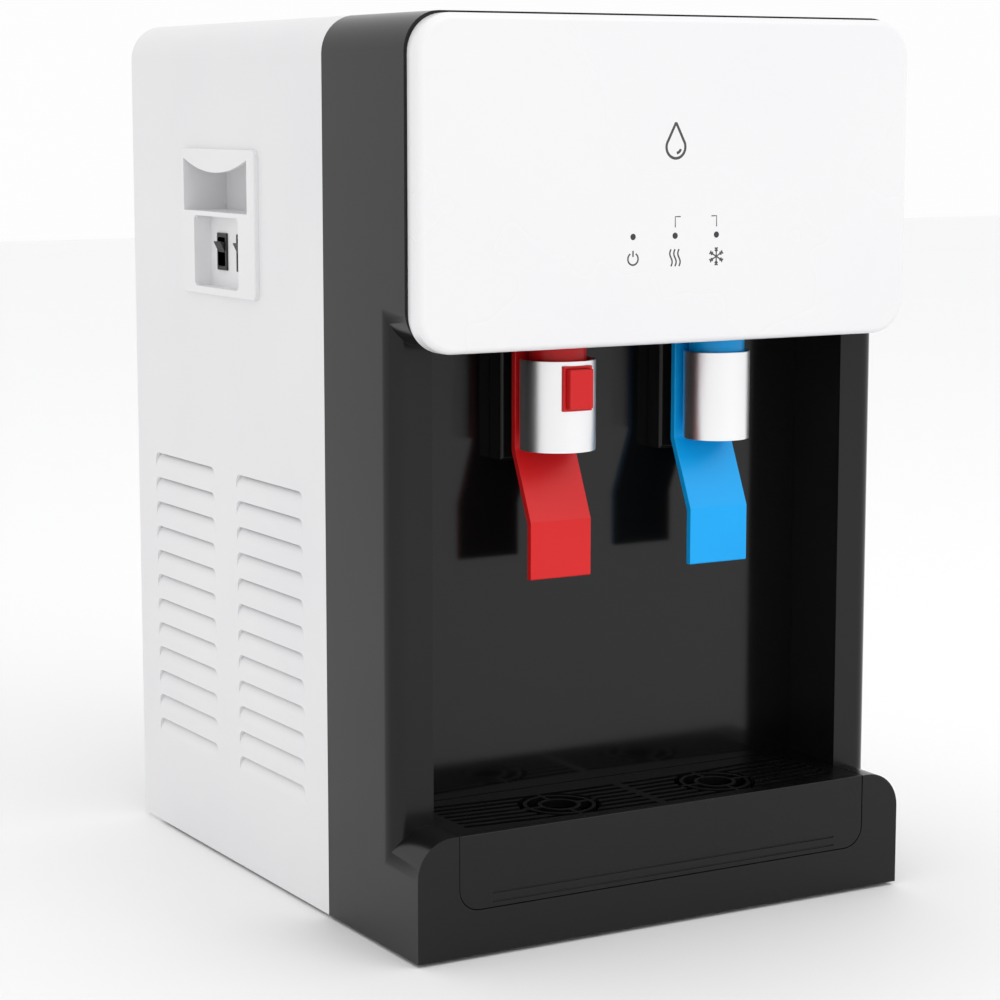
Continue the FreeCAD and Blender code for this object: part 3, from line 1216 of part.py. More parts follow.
def cold_tank():
    at = ("cold_tank_x", "cold_tank_y", "tank_floor")
    wall_top = "(cold_tank_height - tank_wall)"
    inside = rod("cold_tank_inside", "cold_tank_radius - tank_wall", wall_top,
                 ("cold_tank_x", "cold_tank_y", "tank_floor + tank_wall"))
    shell = rod("cold_tank_shell", "cold_tank_radius", "cold_tank_height", at)
    keep("cold_tank", cut("cold_tank", shell, [inside]))
    lid_bottom = "(tank_floor + cold_tank_height)"
    jacket_bore = "(cold_tank_radius + 2 * coil_tube_radius + fit_gap)"
    lid = rod("tank_lid_plate", "%s + jacket_thickness" % jacket_bore, "tank_lid_thickness",
              ("cold_tank_x", "cold_tank_y", lid_bottom))
    port = rod("tank_lid_port", "water_bore", "tank_lid_thickness",
               ("cold_tank_x", "cold_tank_y", lid_bottom))
    keep("cold_tank_lid", cut("cold_tank_lid", lid, [port]))
    keep("cold_tank_jacket", tube("cold_tank_jacket", "%s + jacket_thickness" % jacket_bore, jacket_bore,
                                  "cold_tank_height", at))
    keep("evaporator_coil", coil("evaporator_coil", "cold_tank_radius + coil_tube_radius",
                                 "coil_tube_radius", "coil_pitch", "coil_pitch * coil_turns",
                                 ("cold_tank_x", "cold_tank_y", "tank_floor + coil_pitch")))


# Cooling, filtering and control

def compressor():
    """Sealed shell with a domed top on a foot plate"""
    foot_top = "(%s + grommet_height + sheet_steel)" % pan_top
    shell = Piece("compressor")
    profile = [("0", "0", "0"), ("compressor_radius", "0", "compressor_radius / 8"),
               ("compressor_radius", "compressor_height", "compressor_dome_radius"),
               ("0", "compressor_height", "0")]
    shell.revolve(profile, ("compressor_x", "compressor_y", foot_top))
    shell.add_block(("2 * compressor_foot", "2 * compressor_foot", "sheet_steel"),
                    ("-compressor_foot", "-compressor_foot", "-sheet_steel"))
    grommets = []
    for across in ("-1", "1"):
        for back in ("-1", "1"):
            name = "grommet_%d" % (len(grommets) + 1)
            grommets.append(rod(name, "grommet_radius", "grommet_height",
                                ("compressor_x + %s * (compressor_foot - grommet_radius)" % across,
                                 "compressor_y + %s * (compressor_foot - grommet_radius)" % back, pan_top)))
    keep("compressor_grommets", group("compressor_grommets", grommets))


def filter_drier():
    drier = Piece("filter_drier")
    neck = "(3 * coil_tube_radius)"
    profile = [("0", "0", "0"), ("coil_tube_radius", "0", "0"), ("coil_tube_radius", neck, "0"),
               ("drier_radius", "2 * %s" % neck, "0"), ("drier_radius", "drier_length - 2 * %s" % neck, "0"),
               ("coil_tube_radius", "drier_length - %s" % neck, "0"),
               ("coil_tube_radius", "drier_length", "0"), ("0", "drier_length", "0")]
    drier.revolve(profile, ("%s - 3 * drier_radius" % inner_side,
                            "%s - sheet_steel - drier_radius" % panel_back,
                            "tank_floor - sheet_steel - shelf_gap - drier_length"))


filter_bottom = "(tank_floor - sheet_steel - filter_head_height - filter_height)"


def water_filters():
    for number, node in enumerate(("sediment_cartridge", "carbon_cartridge")):
        cartridge = Piece(node)
        profile = [("0", "0", "0"), ("filter_radius", "0", "filter_radius / 3"),
                   ("filter_radius", "filter_height", "filter_radius / 6"), ("0", "filter_height", "0")]
        cartridge.revolve(profile, ("filter_x + %d * filter_pitch" % number, "filter_y", filter_bottom))
    head = Piece("filter_head")
    head.add_block(("filter_pitch + 2 * filter_radius", "filter_radius", "filter_head_height"),
                   ("filter_x - filter_radius", "filter_y - filter_radius / 2",
                    "%s + filter_height" % filter_bottom))
    head.round_edges("filter_head_height / 4",
                     lambda edge: flat_at(edge, z="%s + filter_height" % filter_bottom))


def self_clean_module():
    module = Piece("self_clean_module")
    floor = "(tank_floor + cold_tank_height + tank_lid_thickness)"
    module.add_block(("module_size", "module_size", "module_size / 2"),
                     ("cold_tank_x + module_size / 4", "cold_tank_y", floor))
    module.round_edges("module_size / 16", lambda edge: flat_at(edge, z="%s + module_size / 2" % floor))
    module.add_rod("water_bore", "module_size / 4",
                   ("cold_tank_x + module_size / 2", "cold_tank_y + module_size / 2",
                    "%s + module_size / 2" % floor))


# Rear fittings

condenser_y = "(%s + condenser_stand)" % panel_back


def condenser():
    """Serpentine tube with upright wires behind it, on clips"""
    runs = round(amount_of("condenser_runs"))
    straight = "(condenser_width - condenser_pitch)"
    parts = []
    for number in range(runs):
        level = "condenser_bottom + %d * condenser_pitch" % number
        parts.append(rod("condenser_run_%d" % (number + 1), "coil_tube_radius", straight,
                         ("-%s / 2" % straight, condenser_y, level), "x"))
        if number < runs - 1:
            bend = doc.addObject("Part::Torus", "condenser_bend_%d" % (number + 1))
            bind(bend, Radius1="condenser_pitch / 2", Radius2="coil_tube_radius")
            bend.Angle3 = 180
            outward = 1 if number % 2 == 0 else -1
            place(bend, ("%d * %s / 2" % (outward, straight), condenser_y,
                         "%s + condenser_pitch / 2" % level))
            bend.Placement.Rotation = FreeCAD.Rotation(FreeCAD.Vector(0, 0, 1),
                                                       FreeCAD.Vector(outward, 0, 0),
                                                       FreeCAD.Vector(0, outward, 0), "YXZ")
            parts.append(bend)
    keep("condenser_tube", fuse("condenser_tube", parts))
    spacing = "(%s / wire_count)" % straight
    wire_length = "((condenser_runs - 1) * condenser_pitch + 2 * wire_overhang)"
    wires = [rod("condenser_wire_%d" % (number + 1), "wire_radius", wire_length,
                 ("(%d + 0.5) * %s - %s / 2" % (number, spacing, straight),
                  "%s + coil_tube_radius + wire_radius" % condenser_y, "condenser_bottom - wire_overhang"))
             for number in range(round(amount_of("wire_count")))]
    keep("condenser_wires", group("condenser_wires", wires))
    clips = []
    for level in ("0", "(condenser_runs - 1)"):
        for across in ("-1", "1"):
            clips.append(block("condenser_clip_%d" % (len(clips) + 1),
                               ("clip_size", "condenser_stand - coil_tube_radius", "clip_size"),
                               ("%s * (%s / 2 - clip_size) - clip_size / 2" % (across, straight), panel_back,
                                "condenser_bottom + %s * condenser_pitch - clip_size / 2" % level)))
    keep("condenser_clips", group("condenser_clips", clips))


def water_inlet():
    """Push-fit socket for a quarter-inch tube"""
    y = panel_back
    stub = rod("inlet_stub", "inlet_stub_radius", "2 * inlet_stub_radius",
               ("inlet_x", "%s - 2 * inlet_stub_radius" % y, "inlet_height"), "y")
    body = rod("inlet_body", "inlet_radius", "fitting_stand", ("inlet_x", y, "inlet_height"), "y")
    collet = rod("inlet_socket", "inlet_bore", "inlet_bore_depth",
                 ("inlet_x", "%s + fitting_stand - inlet_bore_depth" % y, "inlet_height"), "y")
    way = rod("inlet_way", "inlet_way_radius", "2 * inlet_stub_radius + fitting_stand",
              ("inlet_x", "%s - 2 * inlet_stub_radius" % y, "inlet_height"), "y")
    keep("water_inlet", cut("water_inlet", fuse("inlet_solid", [stub, body]), [collet, way]))


def inlet_valve():
    """Solenoid valve on the inlet: a body with its coil on top"""
    valve = Piece("inlet_valve")
    back = "(%s - 2 * inlet_stub_radius)" % panel_back
    middle = "(%s - inlet_valve_size / 2)" % back
    valve.add_block(("inlet_valve_size", "inlet_valve_size", "inlet_valve_size"),
                    ("inlet_x - inlet_valve_size / 2", "%s - inlet_valve_size" % back,
                     "inlet_height - inlet_valve_size / 2"))
    valve.add_rod("inlet_coil_radius", "inlet_coil_height",
                  ("inlet_x", middle, "inlet_height + inlet_valve_size / 2"))
    valve.cut_rod("inlet_way_radius", "inlet_valve_size / 2", ("inlet_x", middle, "inlet_height"), "y")


drain_places = {"hot": "drain_first_x", "cold": "(drain_first_x + drain_pitch)"}


def drain_spigots():
    start = "%s - 3 * sheet_steel" % panel_back
    spigots = [tube(tank + "_drain_spigot", "drain_radius", "water_bore", "fitting_stand + 3 * sheet_steel",
                    (drain_x, start, "drain_height"), "y")
               for tank, drain_x in drain_places.items()]
    keep("drain_spigots", group("drain_spigots", spigots))


def drain_cap(tank, drain_x):
    """Cup pushed over a drain spigot"""
    cap = Piece(tank + "_drain_cap")
    low = "(%s + 2 * fit_gap)" % panel_back
    cap_length = "(fitting_stand - fit_gap + cap_wall)"
    cap.add_rod("drain_radius + pin_gap + cap_wall", cap_length, (drain_x, low, "drain_height"), "y")
    cap.round_edges("cap_wall / 2", lambda edge: flat_at(edge, y="%s + %s" % (low, cap_length)))
    cap.cut_rod("drain_radius + pin_gap", "fitting_stand - fit_gap", (drain_x, low, "drain_height"), "y")


def cord_gland():
    stub = rod("gland_stub", "gland_stub_radius", "gland_inside",
               ("gland_x", "%s - gland_inside" % panel_back, "gland_height"), "y")
    nut = rod("gland_nut", "gland_radius", "fitting_stand", ("gland_x", panel_back, "gland_height"), "y")
    way = rod("gland_way", "gland_bore", "gland_inside + fitting_stand",
              ("gland_x", "%s - gland_inside" % panel_back, "gland_height"), "y")
    keep("cord_gland", cut("cord_gland", fuse("gland_solid", [stub, nut]), [way]))


def water_tubes():
    """Tubes from the inlet to the filters, on to the cold tank, and from each tank to its tap"""
    lid_top = "(tank_floor + cold_tank_height + tank_lid_thickness)"
    head_middle = "(tank_floor - sheet_steel - filter_head_height / 2)"
    feed_bend = "2 * feed_tube_radius"
    valve_front = "(%s - 2 * inlet_stub_radius - inlet_valve_size)" % panel_back
    riser_y = "(%s - 2.5 * feed_tube_radius)" % valve_front
    over = "(%s + 8 * feed_tube_radius)" % lid_top
    tubes = [pipe("inlet_tube",
                  [("inlet_x", valve_front, "inlet_height"), ("inlet_x", riser_y, "inlet_height"),
                   ("inlet_x", riser_y, head_middle),
                   ("inlet_x", "filter_y + filter_radius / 2", head_middle)],
                  "feed_tube_radius", feed_bend),
             pipe("feed_tube",
                  [("filter_x + filter_pitch + filter_radius", "filter_y", head_middle),
                   ("feed_x", "filter_y", head_middle), ("feed_x", "filter_y", over),
                   ("feed_lid_x", "filter_y", over), ("feed_lid_x", "filter_y", lid_top)],
                  "feed_tube_radius", feed_bend)]
    valve_top = "(%s + valve_height + valve_spigot_radius)" % floor_top
    run_height = "(overall_height - 3 * corner_radius)"
    starts = {"hot": ("hot_tank_x", "hot_tank_y", "tank_floor + hot_tank_height + thermostat_height"),
              "cold": ("cold_tank_x", "cold_tank_y", lid_top)}
    for tap, tap_x in taps.items():
        start = starts[tap]
        y = from_front("tap_setback")
        route = [start, (start[0], start[1], run_height), (tap_x, y, run_height), (tap_x, y, valve_top)]
        tubes.append(pipe(tap + "_water_tube", route, "water_bore", "3 * water_bore"))
    keep("water_tubes", group("water_tubes", tubes))


# Everything, from the outside in

cabinet_wrap()
rear_panel()
rear_panel_screws()
base_pan()
rubber_feet()
front_shell()
bay_back_panel()
fascia_panel()
indicator_lenses()
control_board()
grip_bezel("grip_bezel_left", "grip_bottom", True)
pattern = grip_bezel("grip_bezel_right_pattern", "(2 * pocket_bottom + pocket_height - grip_top)", False)
mirrored = keep("grip_bezel_right", doc.addObject("Part::Mirroring", "grip_bezel_right"))
mirrored.Source = pattern.body
mirrored.Normal = FreeCAD.Vector(1, 0, 0)
housings = []
for label, switch_offset in zip(("hot", "cold"), switch_offsets):
    housings.append(switch_housing(label + "_switch_housing", switch_offset))
    switch_rocker(label + "_switch_rocker", switch_offset)
keep("switch_housings", group("switch_housings", housings))
for tap_name, tap_place in taps.items():
    tap_sleeve(tap_name, tap_place)
    tap_body(tap_name, tap_place)
    tap_valve(tap_name, tap_place)
    valve_plunger(tap_name, tap_place)
    lever(tap_name, tap_place)
tap_nozzles()
tap_brackets()
lever_pins()
lever_springs()
lock_frame()
lock_button()
lock_spring()
drip_tray()
drip_grille()
tank_shelf()
hot_tank()
cold_tank()
compressor()
filter_drier()
water_filters()
self_clean_module()
condenser()
water_inlet()
inlet_valve()
drain_spigots()
for tank_name, drain_place in drain_places.items():
    drain_cap(tank_name, drain_place)
cord_gland()
water_tubes()
doc.recompute()

for item in doc.Objects:
    if "Invalid" in item.State or "Error" in item.State:
        raise RuntimeError("%s could not be built" % item.Label)
os.makedirs("parts", exist_ok=True)
for node, thing in sorted(sub_parts.items()):
    if thing.Shape.isNull() or not thing.Shape.isValid():
        raise RuntimeError("%s has no sound shape" % node)
    thing.Shape.exportStep("parts/%s.step" % node)
print("%d sub-parts written" % len(sub_parts))
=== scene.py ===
import json
import math
import bpy
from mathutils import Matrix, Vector


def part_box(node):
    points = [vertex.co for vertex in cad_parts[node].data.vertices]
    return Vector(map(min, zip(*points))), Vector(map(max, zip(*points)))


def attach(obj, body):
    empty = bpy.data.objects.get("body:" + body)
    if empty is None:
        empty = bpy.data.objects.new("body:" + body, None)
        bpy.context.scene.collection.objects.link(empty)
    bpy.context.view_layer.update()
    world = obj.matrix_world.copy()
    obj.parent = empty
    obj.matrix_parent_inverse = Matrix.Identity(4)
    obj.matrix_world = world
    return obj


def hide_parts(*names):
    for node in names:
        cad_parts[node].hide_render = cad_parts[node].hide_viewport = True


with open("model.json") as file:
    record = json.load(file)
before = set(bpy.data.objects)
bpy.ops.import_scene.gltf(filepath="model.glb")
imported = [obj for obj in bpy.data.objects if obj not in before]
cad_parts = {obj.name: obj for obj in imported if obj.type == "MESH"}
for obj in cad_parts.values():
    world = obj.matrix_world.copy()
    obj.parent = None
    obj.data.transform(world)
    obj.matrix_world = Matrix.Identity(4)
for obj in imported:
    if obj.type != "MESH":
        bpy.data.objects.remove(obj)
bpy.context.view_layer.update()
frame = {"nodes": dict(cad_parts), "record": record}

# Countertop water dispenser: white cabinet, black open bay, two lever taps.
# Metres, +Z up, the front faces -Y.

nodes = frame["nodes"]
bodies = frame["record"]["behaviour"]["bodies"]
bodyOfNode = {node: body for body, members in bodies.items() for node in members}


def deselectAll():
    if bpy.context.object and bpy.context.object.mode != "OBJECT":
        bpy.ops.object.mode_set(mode="OBJECT")
    bpy.ops.object.select_all(action="DESELECT")


def selectOnly(piece):
    deselectAll()
    piece.select_set(True)
    bpy.context.view_layer.objects.active = piece


def placeInMesh(piece):
    selectOnly(piece)
    bpy.ops.object.transform_apply(location=True, rotation=True, scale=True)


def applyModifier(piece, kind, **values):
    selectOnly(piece)
    modifier = piece.modifiers.new(kind.lower(), kind)
    for key, value in values.items():
        setattr(modifier, key, value)
    bpy.ops.object.modifier_apply(modifier=modifier.name)


def smooth(piece, angle=32):
    selectOnly(piece)
    bpy.ops.object.shade_smooth_by_angle(angle=math.radians(angle))


def dress(piece, material):
    piece.data.materials.clear()
    piece.data.materials.append(material)


def settle(piece, body, material):
    dress(piece, material)
    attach(piece, body)


# A merged copy of a node with softened edges, which stands in for the node in the picture
def softCopy(node, name, material, edge=0.0, segments=2, angle=40, smoothAngle=32):
    piece = bpy.data.objects.new(name, nodes[node].data.copy())
    bpy.context.scene.collection.objects.link(piece)
    selectOnly(piece)
    bpy.ops.object.mode_set(mode="EDIT")
    bpy.ops.mesh.select_all(action="SELECT")
    bpy.ops.mesh.remove_doubles(threshold=0.00001)
    bpy.ops.mesh.dissolve_limited(angle_limit=math.radians(0.4))
    bpy.ops.object.mode_set(mode="OBJECT")
    if edge > 0:
        applyModifier(piece, "BEVEL", width=edge, segments=segments, limit_method="ANGLE",
                      angle_limit=math.radians(angle), miter_outer="MITER_ARC", harden_normals=False,
                      use_clamp_overlap=True)
    smooth(piece, smoothAngle)
    applyModifier(piece, "WEIGHTED_NORMAL", weight=100, keep_sharp=True)  # flat faces stay flat
    settle(piece, bodyOfNode[node], material)
    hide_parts(node)


# Shader groups: they put out masks and heights only

def newGroup(name, inputs, outputs):
    group = bpy.data.node_groups.new(name, "ShaderNodeTree")
    for label, default in inputs.items():
        kind = "NodeSocketColor" if isinstance(default, tuple) else "NodeSocketFloat"
        socket = group.interface.new_socket(label, in_out="INPUT", socket_type=kind)
        socket.default_value = default
    for label, kind in outputs.items():
        group.interface.new_socket(label, in_out="OUTPUT", socket_type=kind)
    entry = group.nodes.new("NodeGroupInput")
    leave = group.nodes.new("NodeGroupOutput")
    return group, entry, leave


def addNode(tree, kind, **values):
    node = tree.nodes.new(kind)
    for key, value in values.items():
        setattr(node, key, value)
    return node


def noiseInto(tree, scale, detail, vector=None):
    noise = addNode(tree, "ShaderNodeTexNoise")
    noise.inputs["Detail"].default_value = detail
    if isinstance(scale, (int, float)):
        noise.inputs["Scale"].default_value = scale
    else:
        tree.links.new(scale, noise.inputs["Scale"])
    if vector is None:
        vector = addNode(tree, "ShaderNodeTexCoord").outputs["Object"]
    tree.links.new(vector, noise.inputs["Vector"])
    return noise.outputs["Fac"]


def rangeInto(tree, value, low, high, toLow=0.0, toHigh=1.0):
    mapRange = addNode(tree, "ShaderNodeMapRange")
    for socket, amount in zip(("From Min", "From Max", "To Min", "To Max"), (low, high, toLow, toHigh)):
        mapRange.inputs[socket].default_value = amount
    tree.links.new(value, mapRange.inputs["Value"])
    return mapRange.outputs["Result"]


def mathInto(tree, operation, first, second=None):
    node = addNode(tree, "ShaderNodeMath", operation=operation)
    for index, value in enumerate((first, second)):
        if value is None:
            continue
        if isinstance(value, (int, float)):
            node.inputs[index].default_value = value
        else:
            tree.links.new(value, node.inputs[index])
    return node.outputs[0]


def makeUnevenGroup():
    group, entry, leave = newGroup("unevenTone", {"Scale": 6.0}, {"Mask": "NodeSocketFloat"})
    broad = noiseInto(group, entry.outputs["Scale"], 3.0)
    group.links.new(rangeInto(group, broad, 0.35, 0.65), leave.inputs["Mask"])
    return group


def makeGrainGroup():
    group, entry, leave = newGroup("mouldedGrain", {"Scale": 900.0, "Wave": 45.0, "Wave amount": 0.4},
                                   {"Height": "NodeSocketFloat"})
    fine = noiseInto(group, entry.outputs["Scale"], 2.0)
    wave = noiseInto(group, entry.outputs["Wave"], 1.0)
    both = mathInto(group, "ADD", fine, mathInto(group, "MULTIPLY", wave, entry.outputs["Wave amount"]))
    group.links.new(both, leave.inputs["Height"])
    return group


def makeWearGroup():
    group, entry, leave = newGroup("edgeWear", {"Radius": 0.001, "Breakup": 60.0, "Amount": 0.6},
                                   {"Mask": "NodeSocketFloat"})
    rounded = addNode(group, "ShaderNodeBevel", samples=4)
    group.links.new(entry.outputs["Radius"], rounded.inputs["Radius"])
    plain = addNode(group, "ShaderNodeNewGeometry")
    dot = addNode(group, "ShaderNodeVectorMath", operation="DOT_PRODUCT")
    group.links.new(rounded.outputs["Normal"], dot.inputs[0])
    group.links.new(plain.outputs["Normal"], dot.inputs[1])
    turned = mathInto(group, "SUBTRACT", 1.0, dot.outputs["Value"])  # nothing on a flat face
    corner = rangeInto(group, turned, 0.01, 0.25)
    patchy = rangeInto(group, noiseInto(group, entry.outputs["Breakup"], 4.0), 0.4, 0.62)
    chipped = mathInto(group, "MULTIPLY", corner, patchy)
    worn = mathInto(group, "MULTIPLY", chipped, entry.outputs["Amount"])
    group.links.new(worn, leave.inputs["Mask"])
    return group


def makeDustGroup():
    group, entry, leave = newGroup("settledDust", {"Amount": 0.3, "Scale": 25.0},
                                   {"Mask": "NodeSocketFloat"})
    normal = addNode(group, "ShaderNodeSeparateXYZ")
    group.links.new(addNode(group, "ShaderNodeNewGeometry").outputs["Normal"], normal.inputs[0])
    upward = rangeInto(group, normal.outputs["Z"], 0.75, 1.0)  # dust lies on what faces up
    patchy = rangeInto(group, noiseInto(group, entry.outputs["Scale"], 5.0), 0.42, 0.68)
    lying = mathInto(group, "MULTIPLY", upward, patchy)
    dust = mathInto(group, "MULTIPLY", lying, entry.outputs["Amount"])
    group.links.new(dust, leave.inputs["Mask"])
    return group


def makeBrushedGroup():
    group, entry, leave = newGroup("brushedLines", {"Along": 8.0, "Across": 2600.0},
                                   {"Height": "NodeSocketFloat"})
    place = addNode(group, "ShaderNodeTexCoord")
    split = addNode(group, "ShaderNodeSeparateXYZ")
    group.links.new(place.outputs["Object"], split.inputs[0])
    joined = addNode(group, "ShaderNodeCombineXYZ")
    for label, factor in (("X", "Along"), ("Y", "Along"), ("Z", "Across")):
        stretched = mathInto(group, "MULTIPLY", split.outputs[label], entry.outputs[factor])
        group.links.new(stretched, joined.inputs[label])
    lines = noiseInto(group, 1.0, 3.0, joined.outputs[0])
    group.links.new(lines, leave.inputs["Height"])
    return group


unevenTone = makeUnevenGroup()
mouldedGrain = makeGrainGroup()
edgeWear = makeWearGroup()
settledDust = makeDustGroup()
brushedLines = makeBrushedGroup()
print("shader groups ready")


def useGroup(tree, group, **values):
    node = addNode(tree, "ShaderNodeGroup", node_tree=group)
    for key, value in values.items():
        node.inputs[key.replace("_", " ")].default_value = value  # Wave_amount is the Wave amount socket
    return node


def mixColour(tree, mask, first, second):
    mix = addNode(tree, "ShaderNodeMix", data_type="RGBA")
    for socket, value in zip((6, 7), (first, second)):
        if isinstance(value, tuple):
            mix.inputs[socket].default_value = (*value, 1.0)
        else:
            tree.links.new(value, mix.inputs[socket])
    tree.links.new(mask, mix.inputs[0])
    return mix.outputs[2]


def makeFinish(name, settings):
    material = bpy.data.materials.new(name)
    material.use_nodes = True
    tree = material.node_tree
    shader = tree.nodes["Principled BSDF"]
    tone = useGroup(tree, unevenTone, Scale=settings.get("patch", 7.0))
    colour = mixColour(tree, tone.outputs["Mask"], settings["colour"], settings["shade"])
    rough = rangeInto(tree, tone.outputs["Mask"], 0.0, 1.0, *settings["rough"])
    if "wear" in settings:
        wear = useGroup(tree, edgeWear, Radius=settings.get("wearRadius", 0.0009), Amount=settings["wear"])
        colour = mixColour(tree, wear.outputs["Mask"], colour, settings["worn"])
    if "dust" in settings:
        dust = useGroup(tree, settledDust, Amount=settings["dust"])
        dustColour = settings.get("dustColour", (0.55, 0.54, 0.52))
        colour = mixColour(tree, dust.outputs["Mask"], colour, dustColour)
        rough = mathInto(tree, "ADD", rough, mathInto(tree, "MULTIPLY", dust.outputs["Mask"], 0.4))
    if settings.get("brushed"):
        lines = useGroup(tree, brushedLines, **settings["brushed"])
        height = lines.outputs["Height"]
        rough = mathInto(tree, "ADD", rough, mathInto(tree, "MULTIPLY", height, 0.08))
    else:
        grain = useGroup(tree, mouldedGrain, Scale=settings.get("grain", 900.0),
                         Wave=settings.get("wave", 45.0), Wave_amount=settings.get("waveAmount", 0.4))
        height = grain.outputs["Height"]
    bump = addNode(tree, "ShaderNodeBump")
    bump.inputs["Strength"].default_value = settings.get("bump", 0.1)
    bump.inputs["Distance"].default_value = settings.get("bumpDepth", 0.0002)
    tree.links.new(height, bump.inputs["Height"])
    tree.links.new(bump.outputs["Normal"], shader.inputs["Normal"])
    tree.links.new(colour, shader.inputs["Base Color"])
    tree.links.new(rough, shader.inputs["Roughness"])
    shader.inputs["Metallic"].default_value = settings.get("metallic", 0.0)
    shader.inputs["Specular IOR Level"].default_value = settings.get("specular", 0.5)
    shader.inputs["Coat Weight"].default_value = settings.get("coat", 0.0)
    shader.inputs["Coat Roughness"].default_value = settings.get("coatRoughness", 0.05)
    return material


finishes = {
    "whiteEnamel": dict(colour=(0.80, 0.795, 0.805), shade=(0.775, 0.77, 0.785), rough=(0.36, 0.46),
                        grain=520.0, wave=70.0, waveAmount=0.9, bump=0.06, wear=0.25,
                        worn=(0.62, 0.62, 0.63), dust=0.10, dustColour=(0.7, 0.69, 0.67)),
    "whitePanel": dict(colour=(0.85, 0.845, 0.855), shade=(0.83, 0.825, 0.84), rough=(0.24, 0.32),
                       grain=1400.0, wave=30.0, waveAmount=0.5, bump=0.03, wear=0.15,
                       worn=(0.76, 0.76, 0.77), coat=0.1),
    "whiteMoulding": dict(colour=(0.81, 0.805, 0.815), shade=(0.78, 0.775, 0.79), rough=(0.32, 0.42),
                          grain=1100.0, bump=0.08, wear=0.2, worn=(0.70, 0.70, 0.71)),
    "blackShell": dict(colour=(0.0066, 0.0064, 0.0067), shade=(0.0054, 0.0053, 0.0056), rough=(0.19, 0.26),
                       grain=1500.0, wave=26.0, bump=0.03, wear=0.25, worn=(0.035, 0.035, 0.035),
                       specular=0.28),
    "blackMirror": dict(colour=(0.0036, 0.0036, 0.0038), shade=(0.0028, 0.0028, 0.003), rough=(0.10, 0.15),
                        grain=1800.0, wave=12.0, bump=0.008, specular=0.36),
    "blackTray": dict(colour=(0.004, 0.004, 0.0042), shade=(0.0028, 0.0028, 0.003), rough=(0.2, 0.3),
                      grain=1300.0, bump=0.05, wear=0.3, worn=(0.04, 0.04, 0.04), specular=0.3),
    "switchBlack": dict(colour=(0.016, 0.016, 0.017), shade=(0.011, 0.011, 0.012), rough=(0.38, 0.5),
                        grain=1600.0, bump=0.12, wear=0.5, worn=(0.10, 0.10, 0.10), specular=0.4),
    "satinSteel": dict(colour=(0.93, 0.93, 0.935), shade=(0.89, 0.89, 0.9), rough=(0.27, 0.33),
                       metallic=1.0, brushed=dict(Along=14.0, Across=9000.0), bump=0.03,
                       bumpDepth=0.00005, wear=0.2, worn=(0.92, 0.92, 0.92)),
    "redPlastic": dict(colour=(0.70, 0.014, 0.016), shade=(0.62, 0.010, 0.012), rough=(0.3, 0.4),
                       grain=1300.0, bump=0.05, wear=0.3, worn=(0.78, 0.14, 0.14), specular=0.28),
    "bluePlastic": dict(colour=(0.003, 0.41, 0.92), shade=(0.002, 0.36, 0.86), rough=(0.3, 0.4),
                        grain=1300.0, bump=0.05, wear=0.3, worn=(0.2, 0.6, 0.95), specular=0.28),
    "nozzleGrey": dict(colour=(0.22, 0.22, 0.225), shade=(0.17, 0.17, 0.175), rough=(0.4, 0.5),
                       grain=1200.0, bump=0.1, wear=0.3, worn=(0.4, 0.4, 0.4)),
    "zincSheet": dict(colour=(0.48, 0.49, 0.50), shade=(0.36, 0.37, 0.38), rough=(0.34, 0.52),
                      metallic=0.9, patch=90.0, grain=300.0, bump=0.1, wear=0.4, worn=(0.7, 0.7, 0.7),
                      dust=0.2),
    "screwZinc": dict(colour=(0.66, 0.65, 0.62), shade=(0.5, 0.49, 0.45), rough=(0.25, 0.4), metallic=1.0,
                      patch=200.0, brushed=dict(Along=300.0, Across=300.0), bump=0.08),
    "blackEnamel": dict(colour=(0.012, 0.012, 0.012), shade=(0.02, 0.02, 0.019), rough=(0.3, 0.5),
                        grain=600.0, bump=0.12, dust=0.35, dustColour=(0.2, 0.195, 0.18)),
    "footRubber": dict(colour=(0.02, 0.02, 0.02), shade=(0.035, 0.034, 0.033), rough=(0.7, 0.85),
                       grain=1500.0, bump=0.25),
    "capRubber": dict(colour=(0.035, 0.035, 0.036), shade=(0.05, 0.05, 0.05), rough=(0.55, 0.7),
                      grain=1500.0, bump=0.2),
    "copperTube": dict(colour=(0.75, 0.36, 0.22), shade=(0.5, 0.22, 0.13), rough=(0.25, 0.45),
                       metallic=1.0, patch=40.0, bump=0.08),
    "foamJacket": dict(colour=(0.80, 0.77, 0.68), shade=(0.7, 0.66, 0.56), rough=(0.8, 0.95), grain=260.0,
                       bump=0.5, bumpDepth=0.0008),
    "boardGreen": dict(colour=(0.012, 0.12, 0.05), shade=(0.01, 0.09, 0.04), rough=(0.3, 0.4),
                       patch=120.0, bump=0.1),
    "tubeMilky": dict(colour=(0.78, 0.8, 0.82), shade=(0.7, 0.72, 0.75), rough=(0.3, 0.45), bump=0.05),
    "lensDark": dict(colour=(0.015, 0.015, 0.017), shade=(0.03, 0.03, 0.033), rough=(0.08, 0.15),
                     grain=2500.0, bump=0.02, coat=0.5),
    "markGrey": dict(colour=(0.05, 0.05, 0.052), shade=(0.07, 0.07, 0.073), rough=(0.5, 0.6),
                     grain=2500.0, bump=0.04),
}
materials = {name: makeFinish(name, settings) for name, settings in finishes.items()}
print("materials ready:", len(materials))

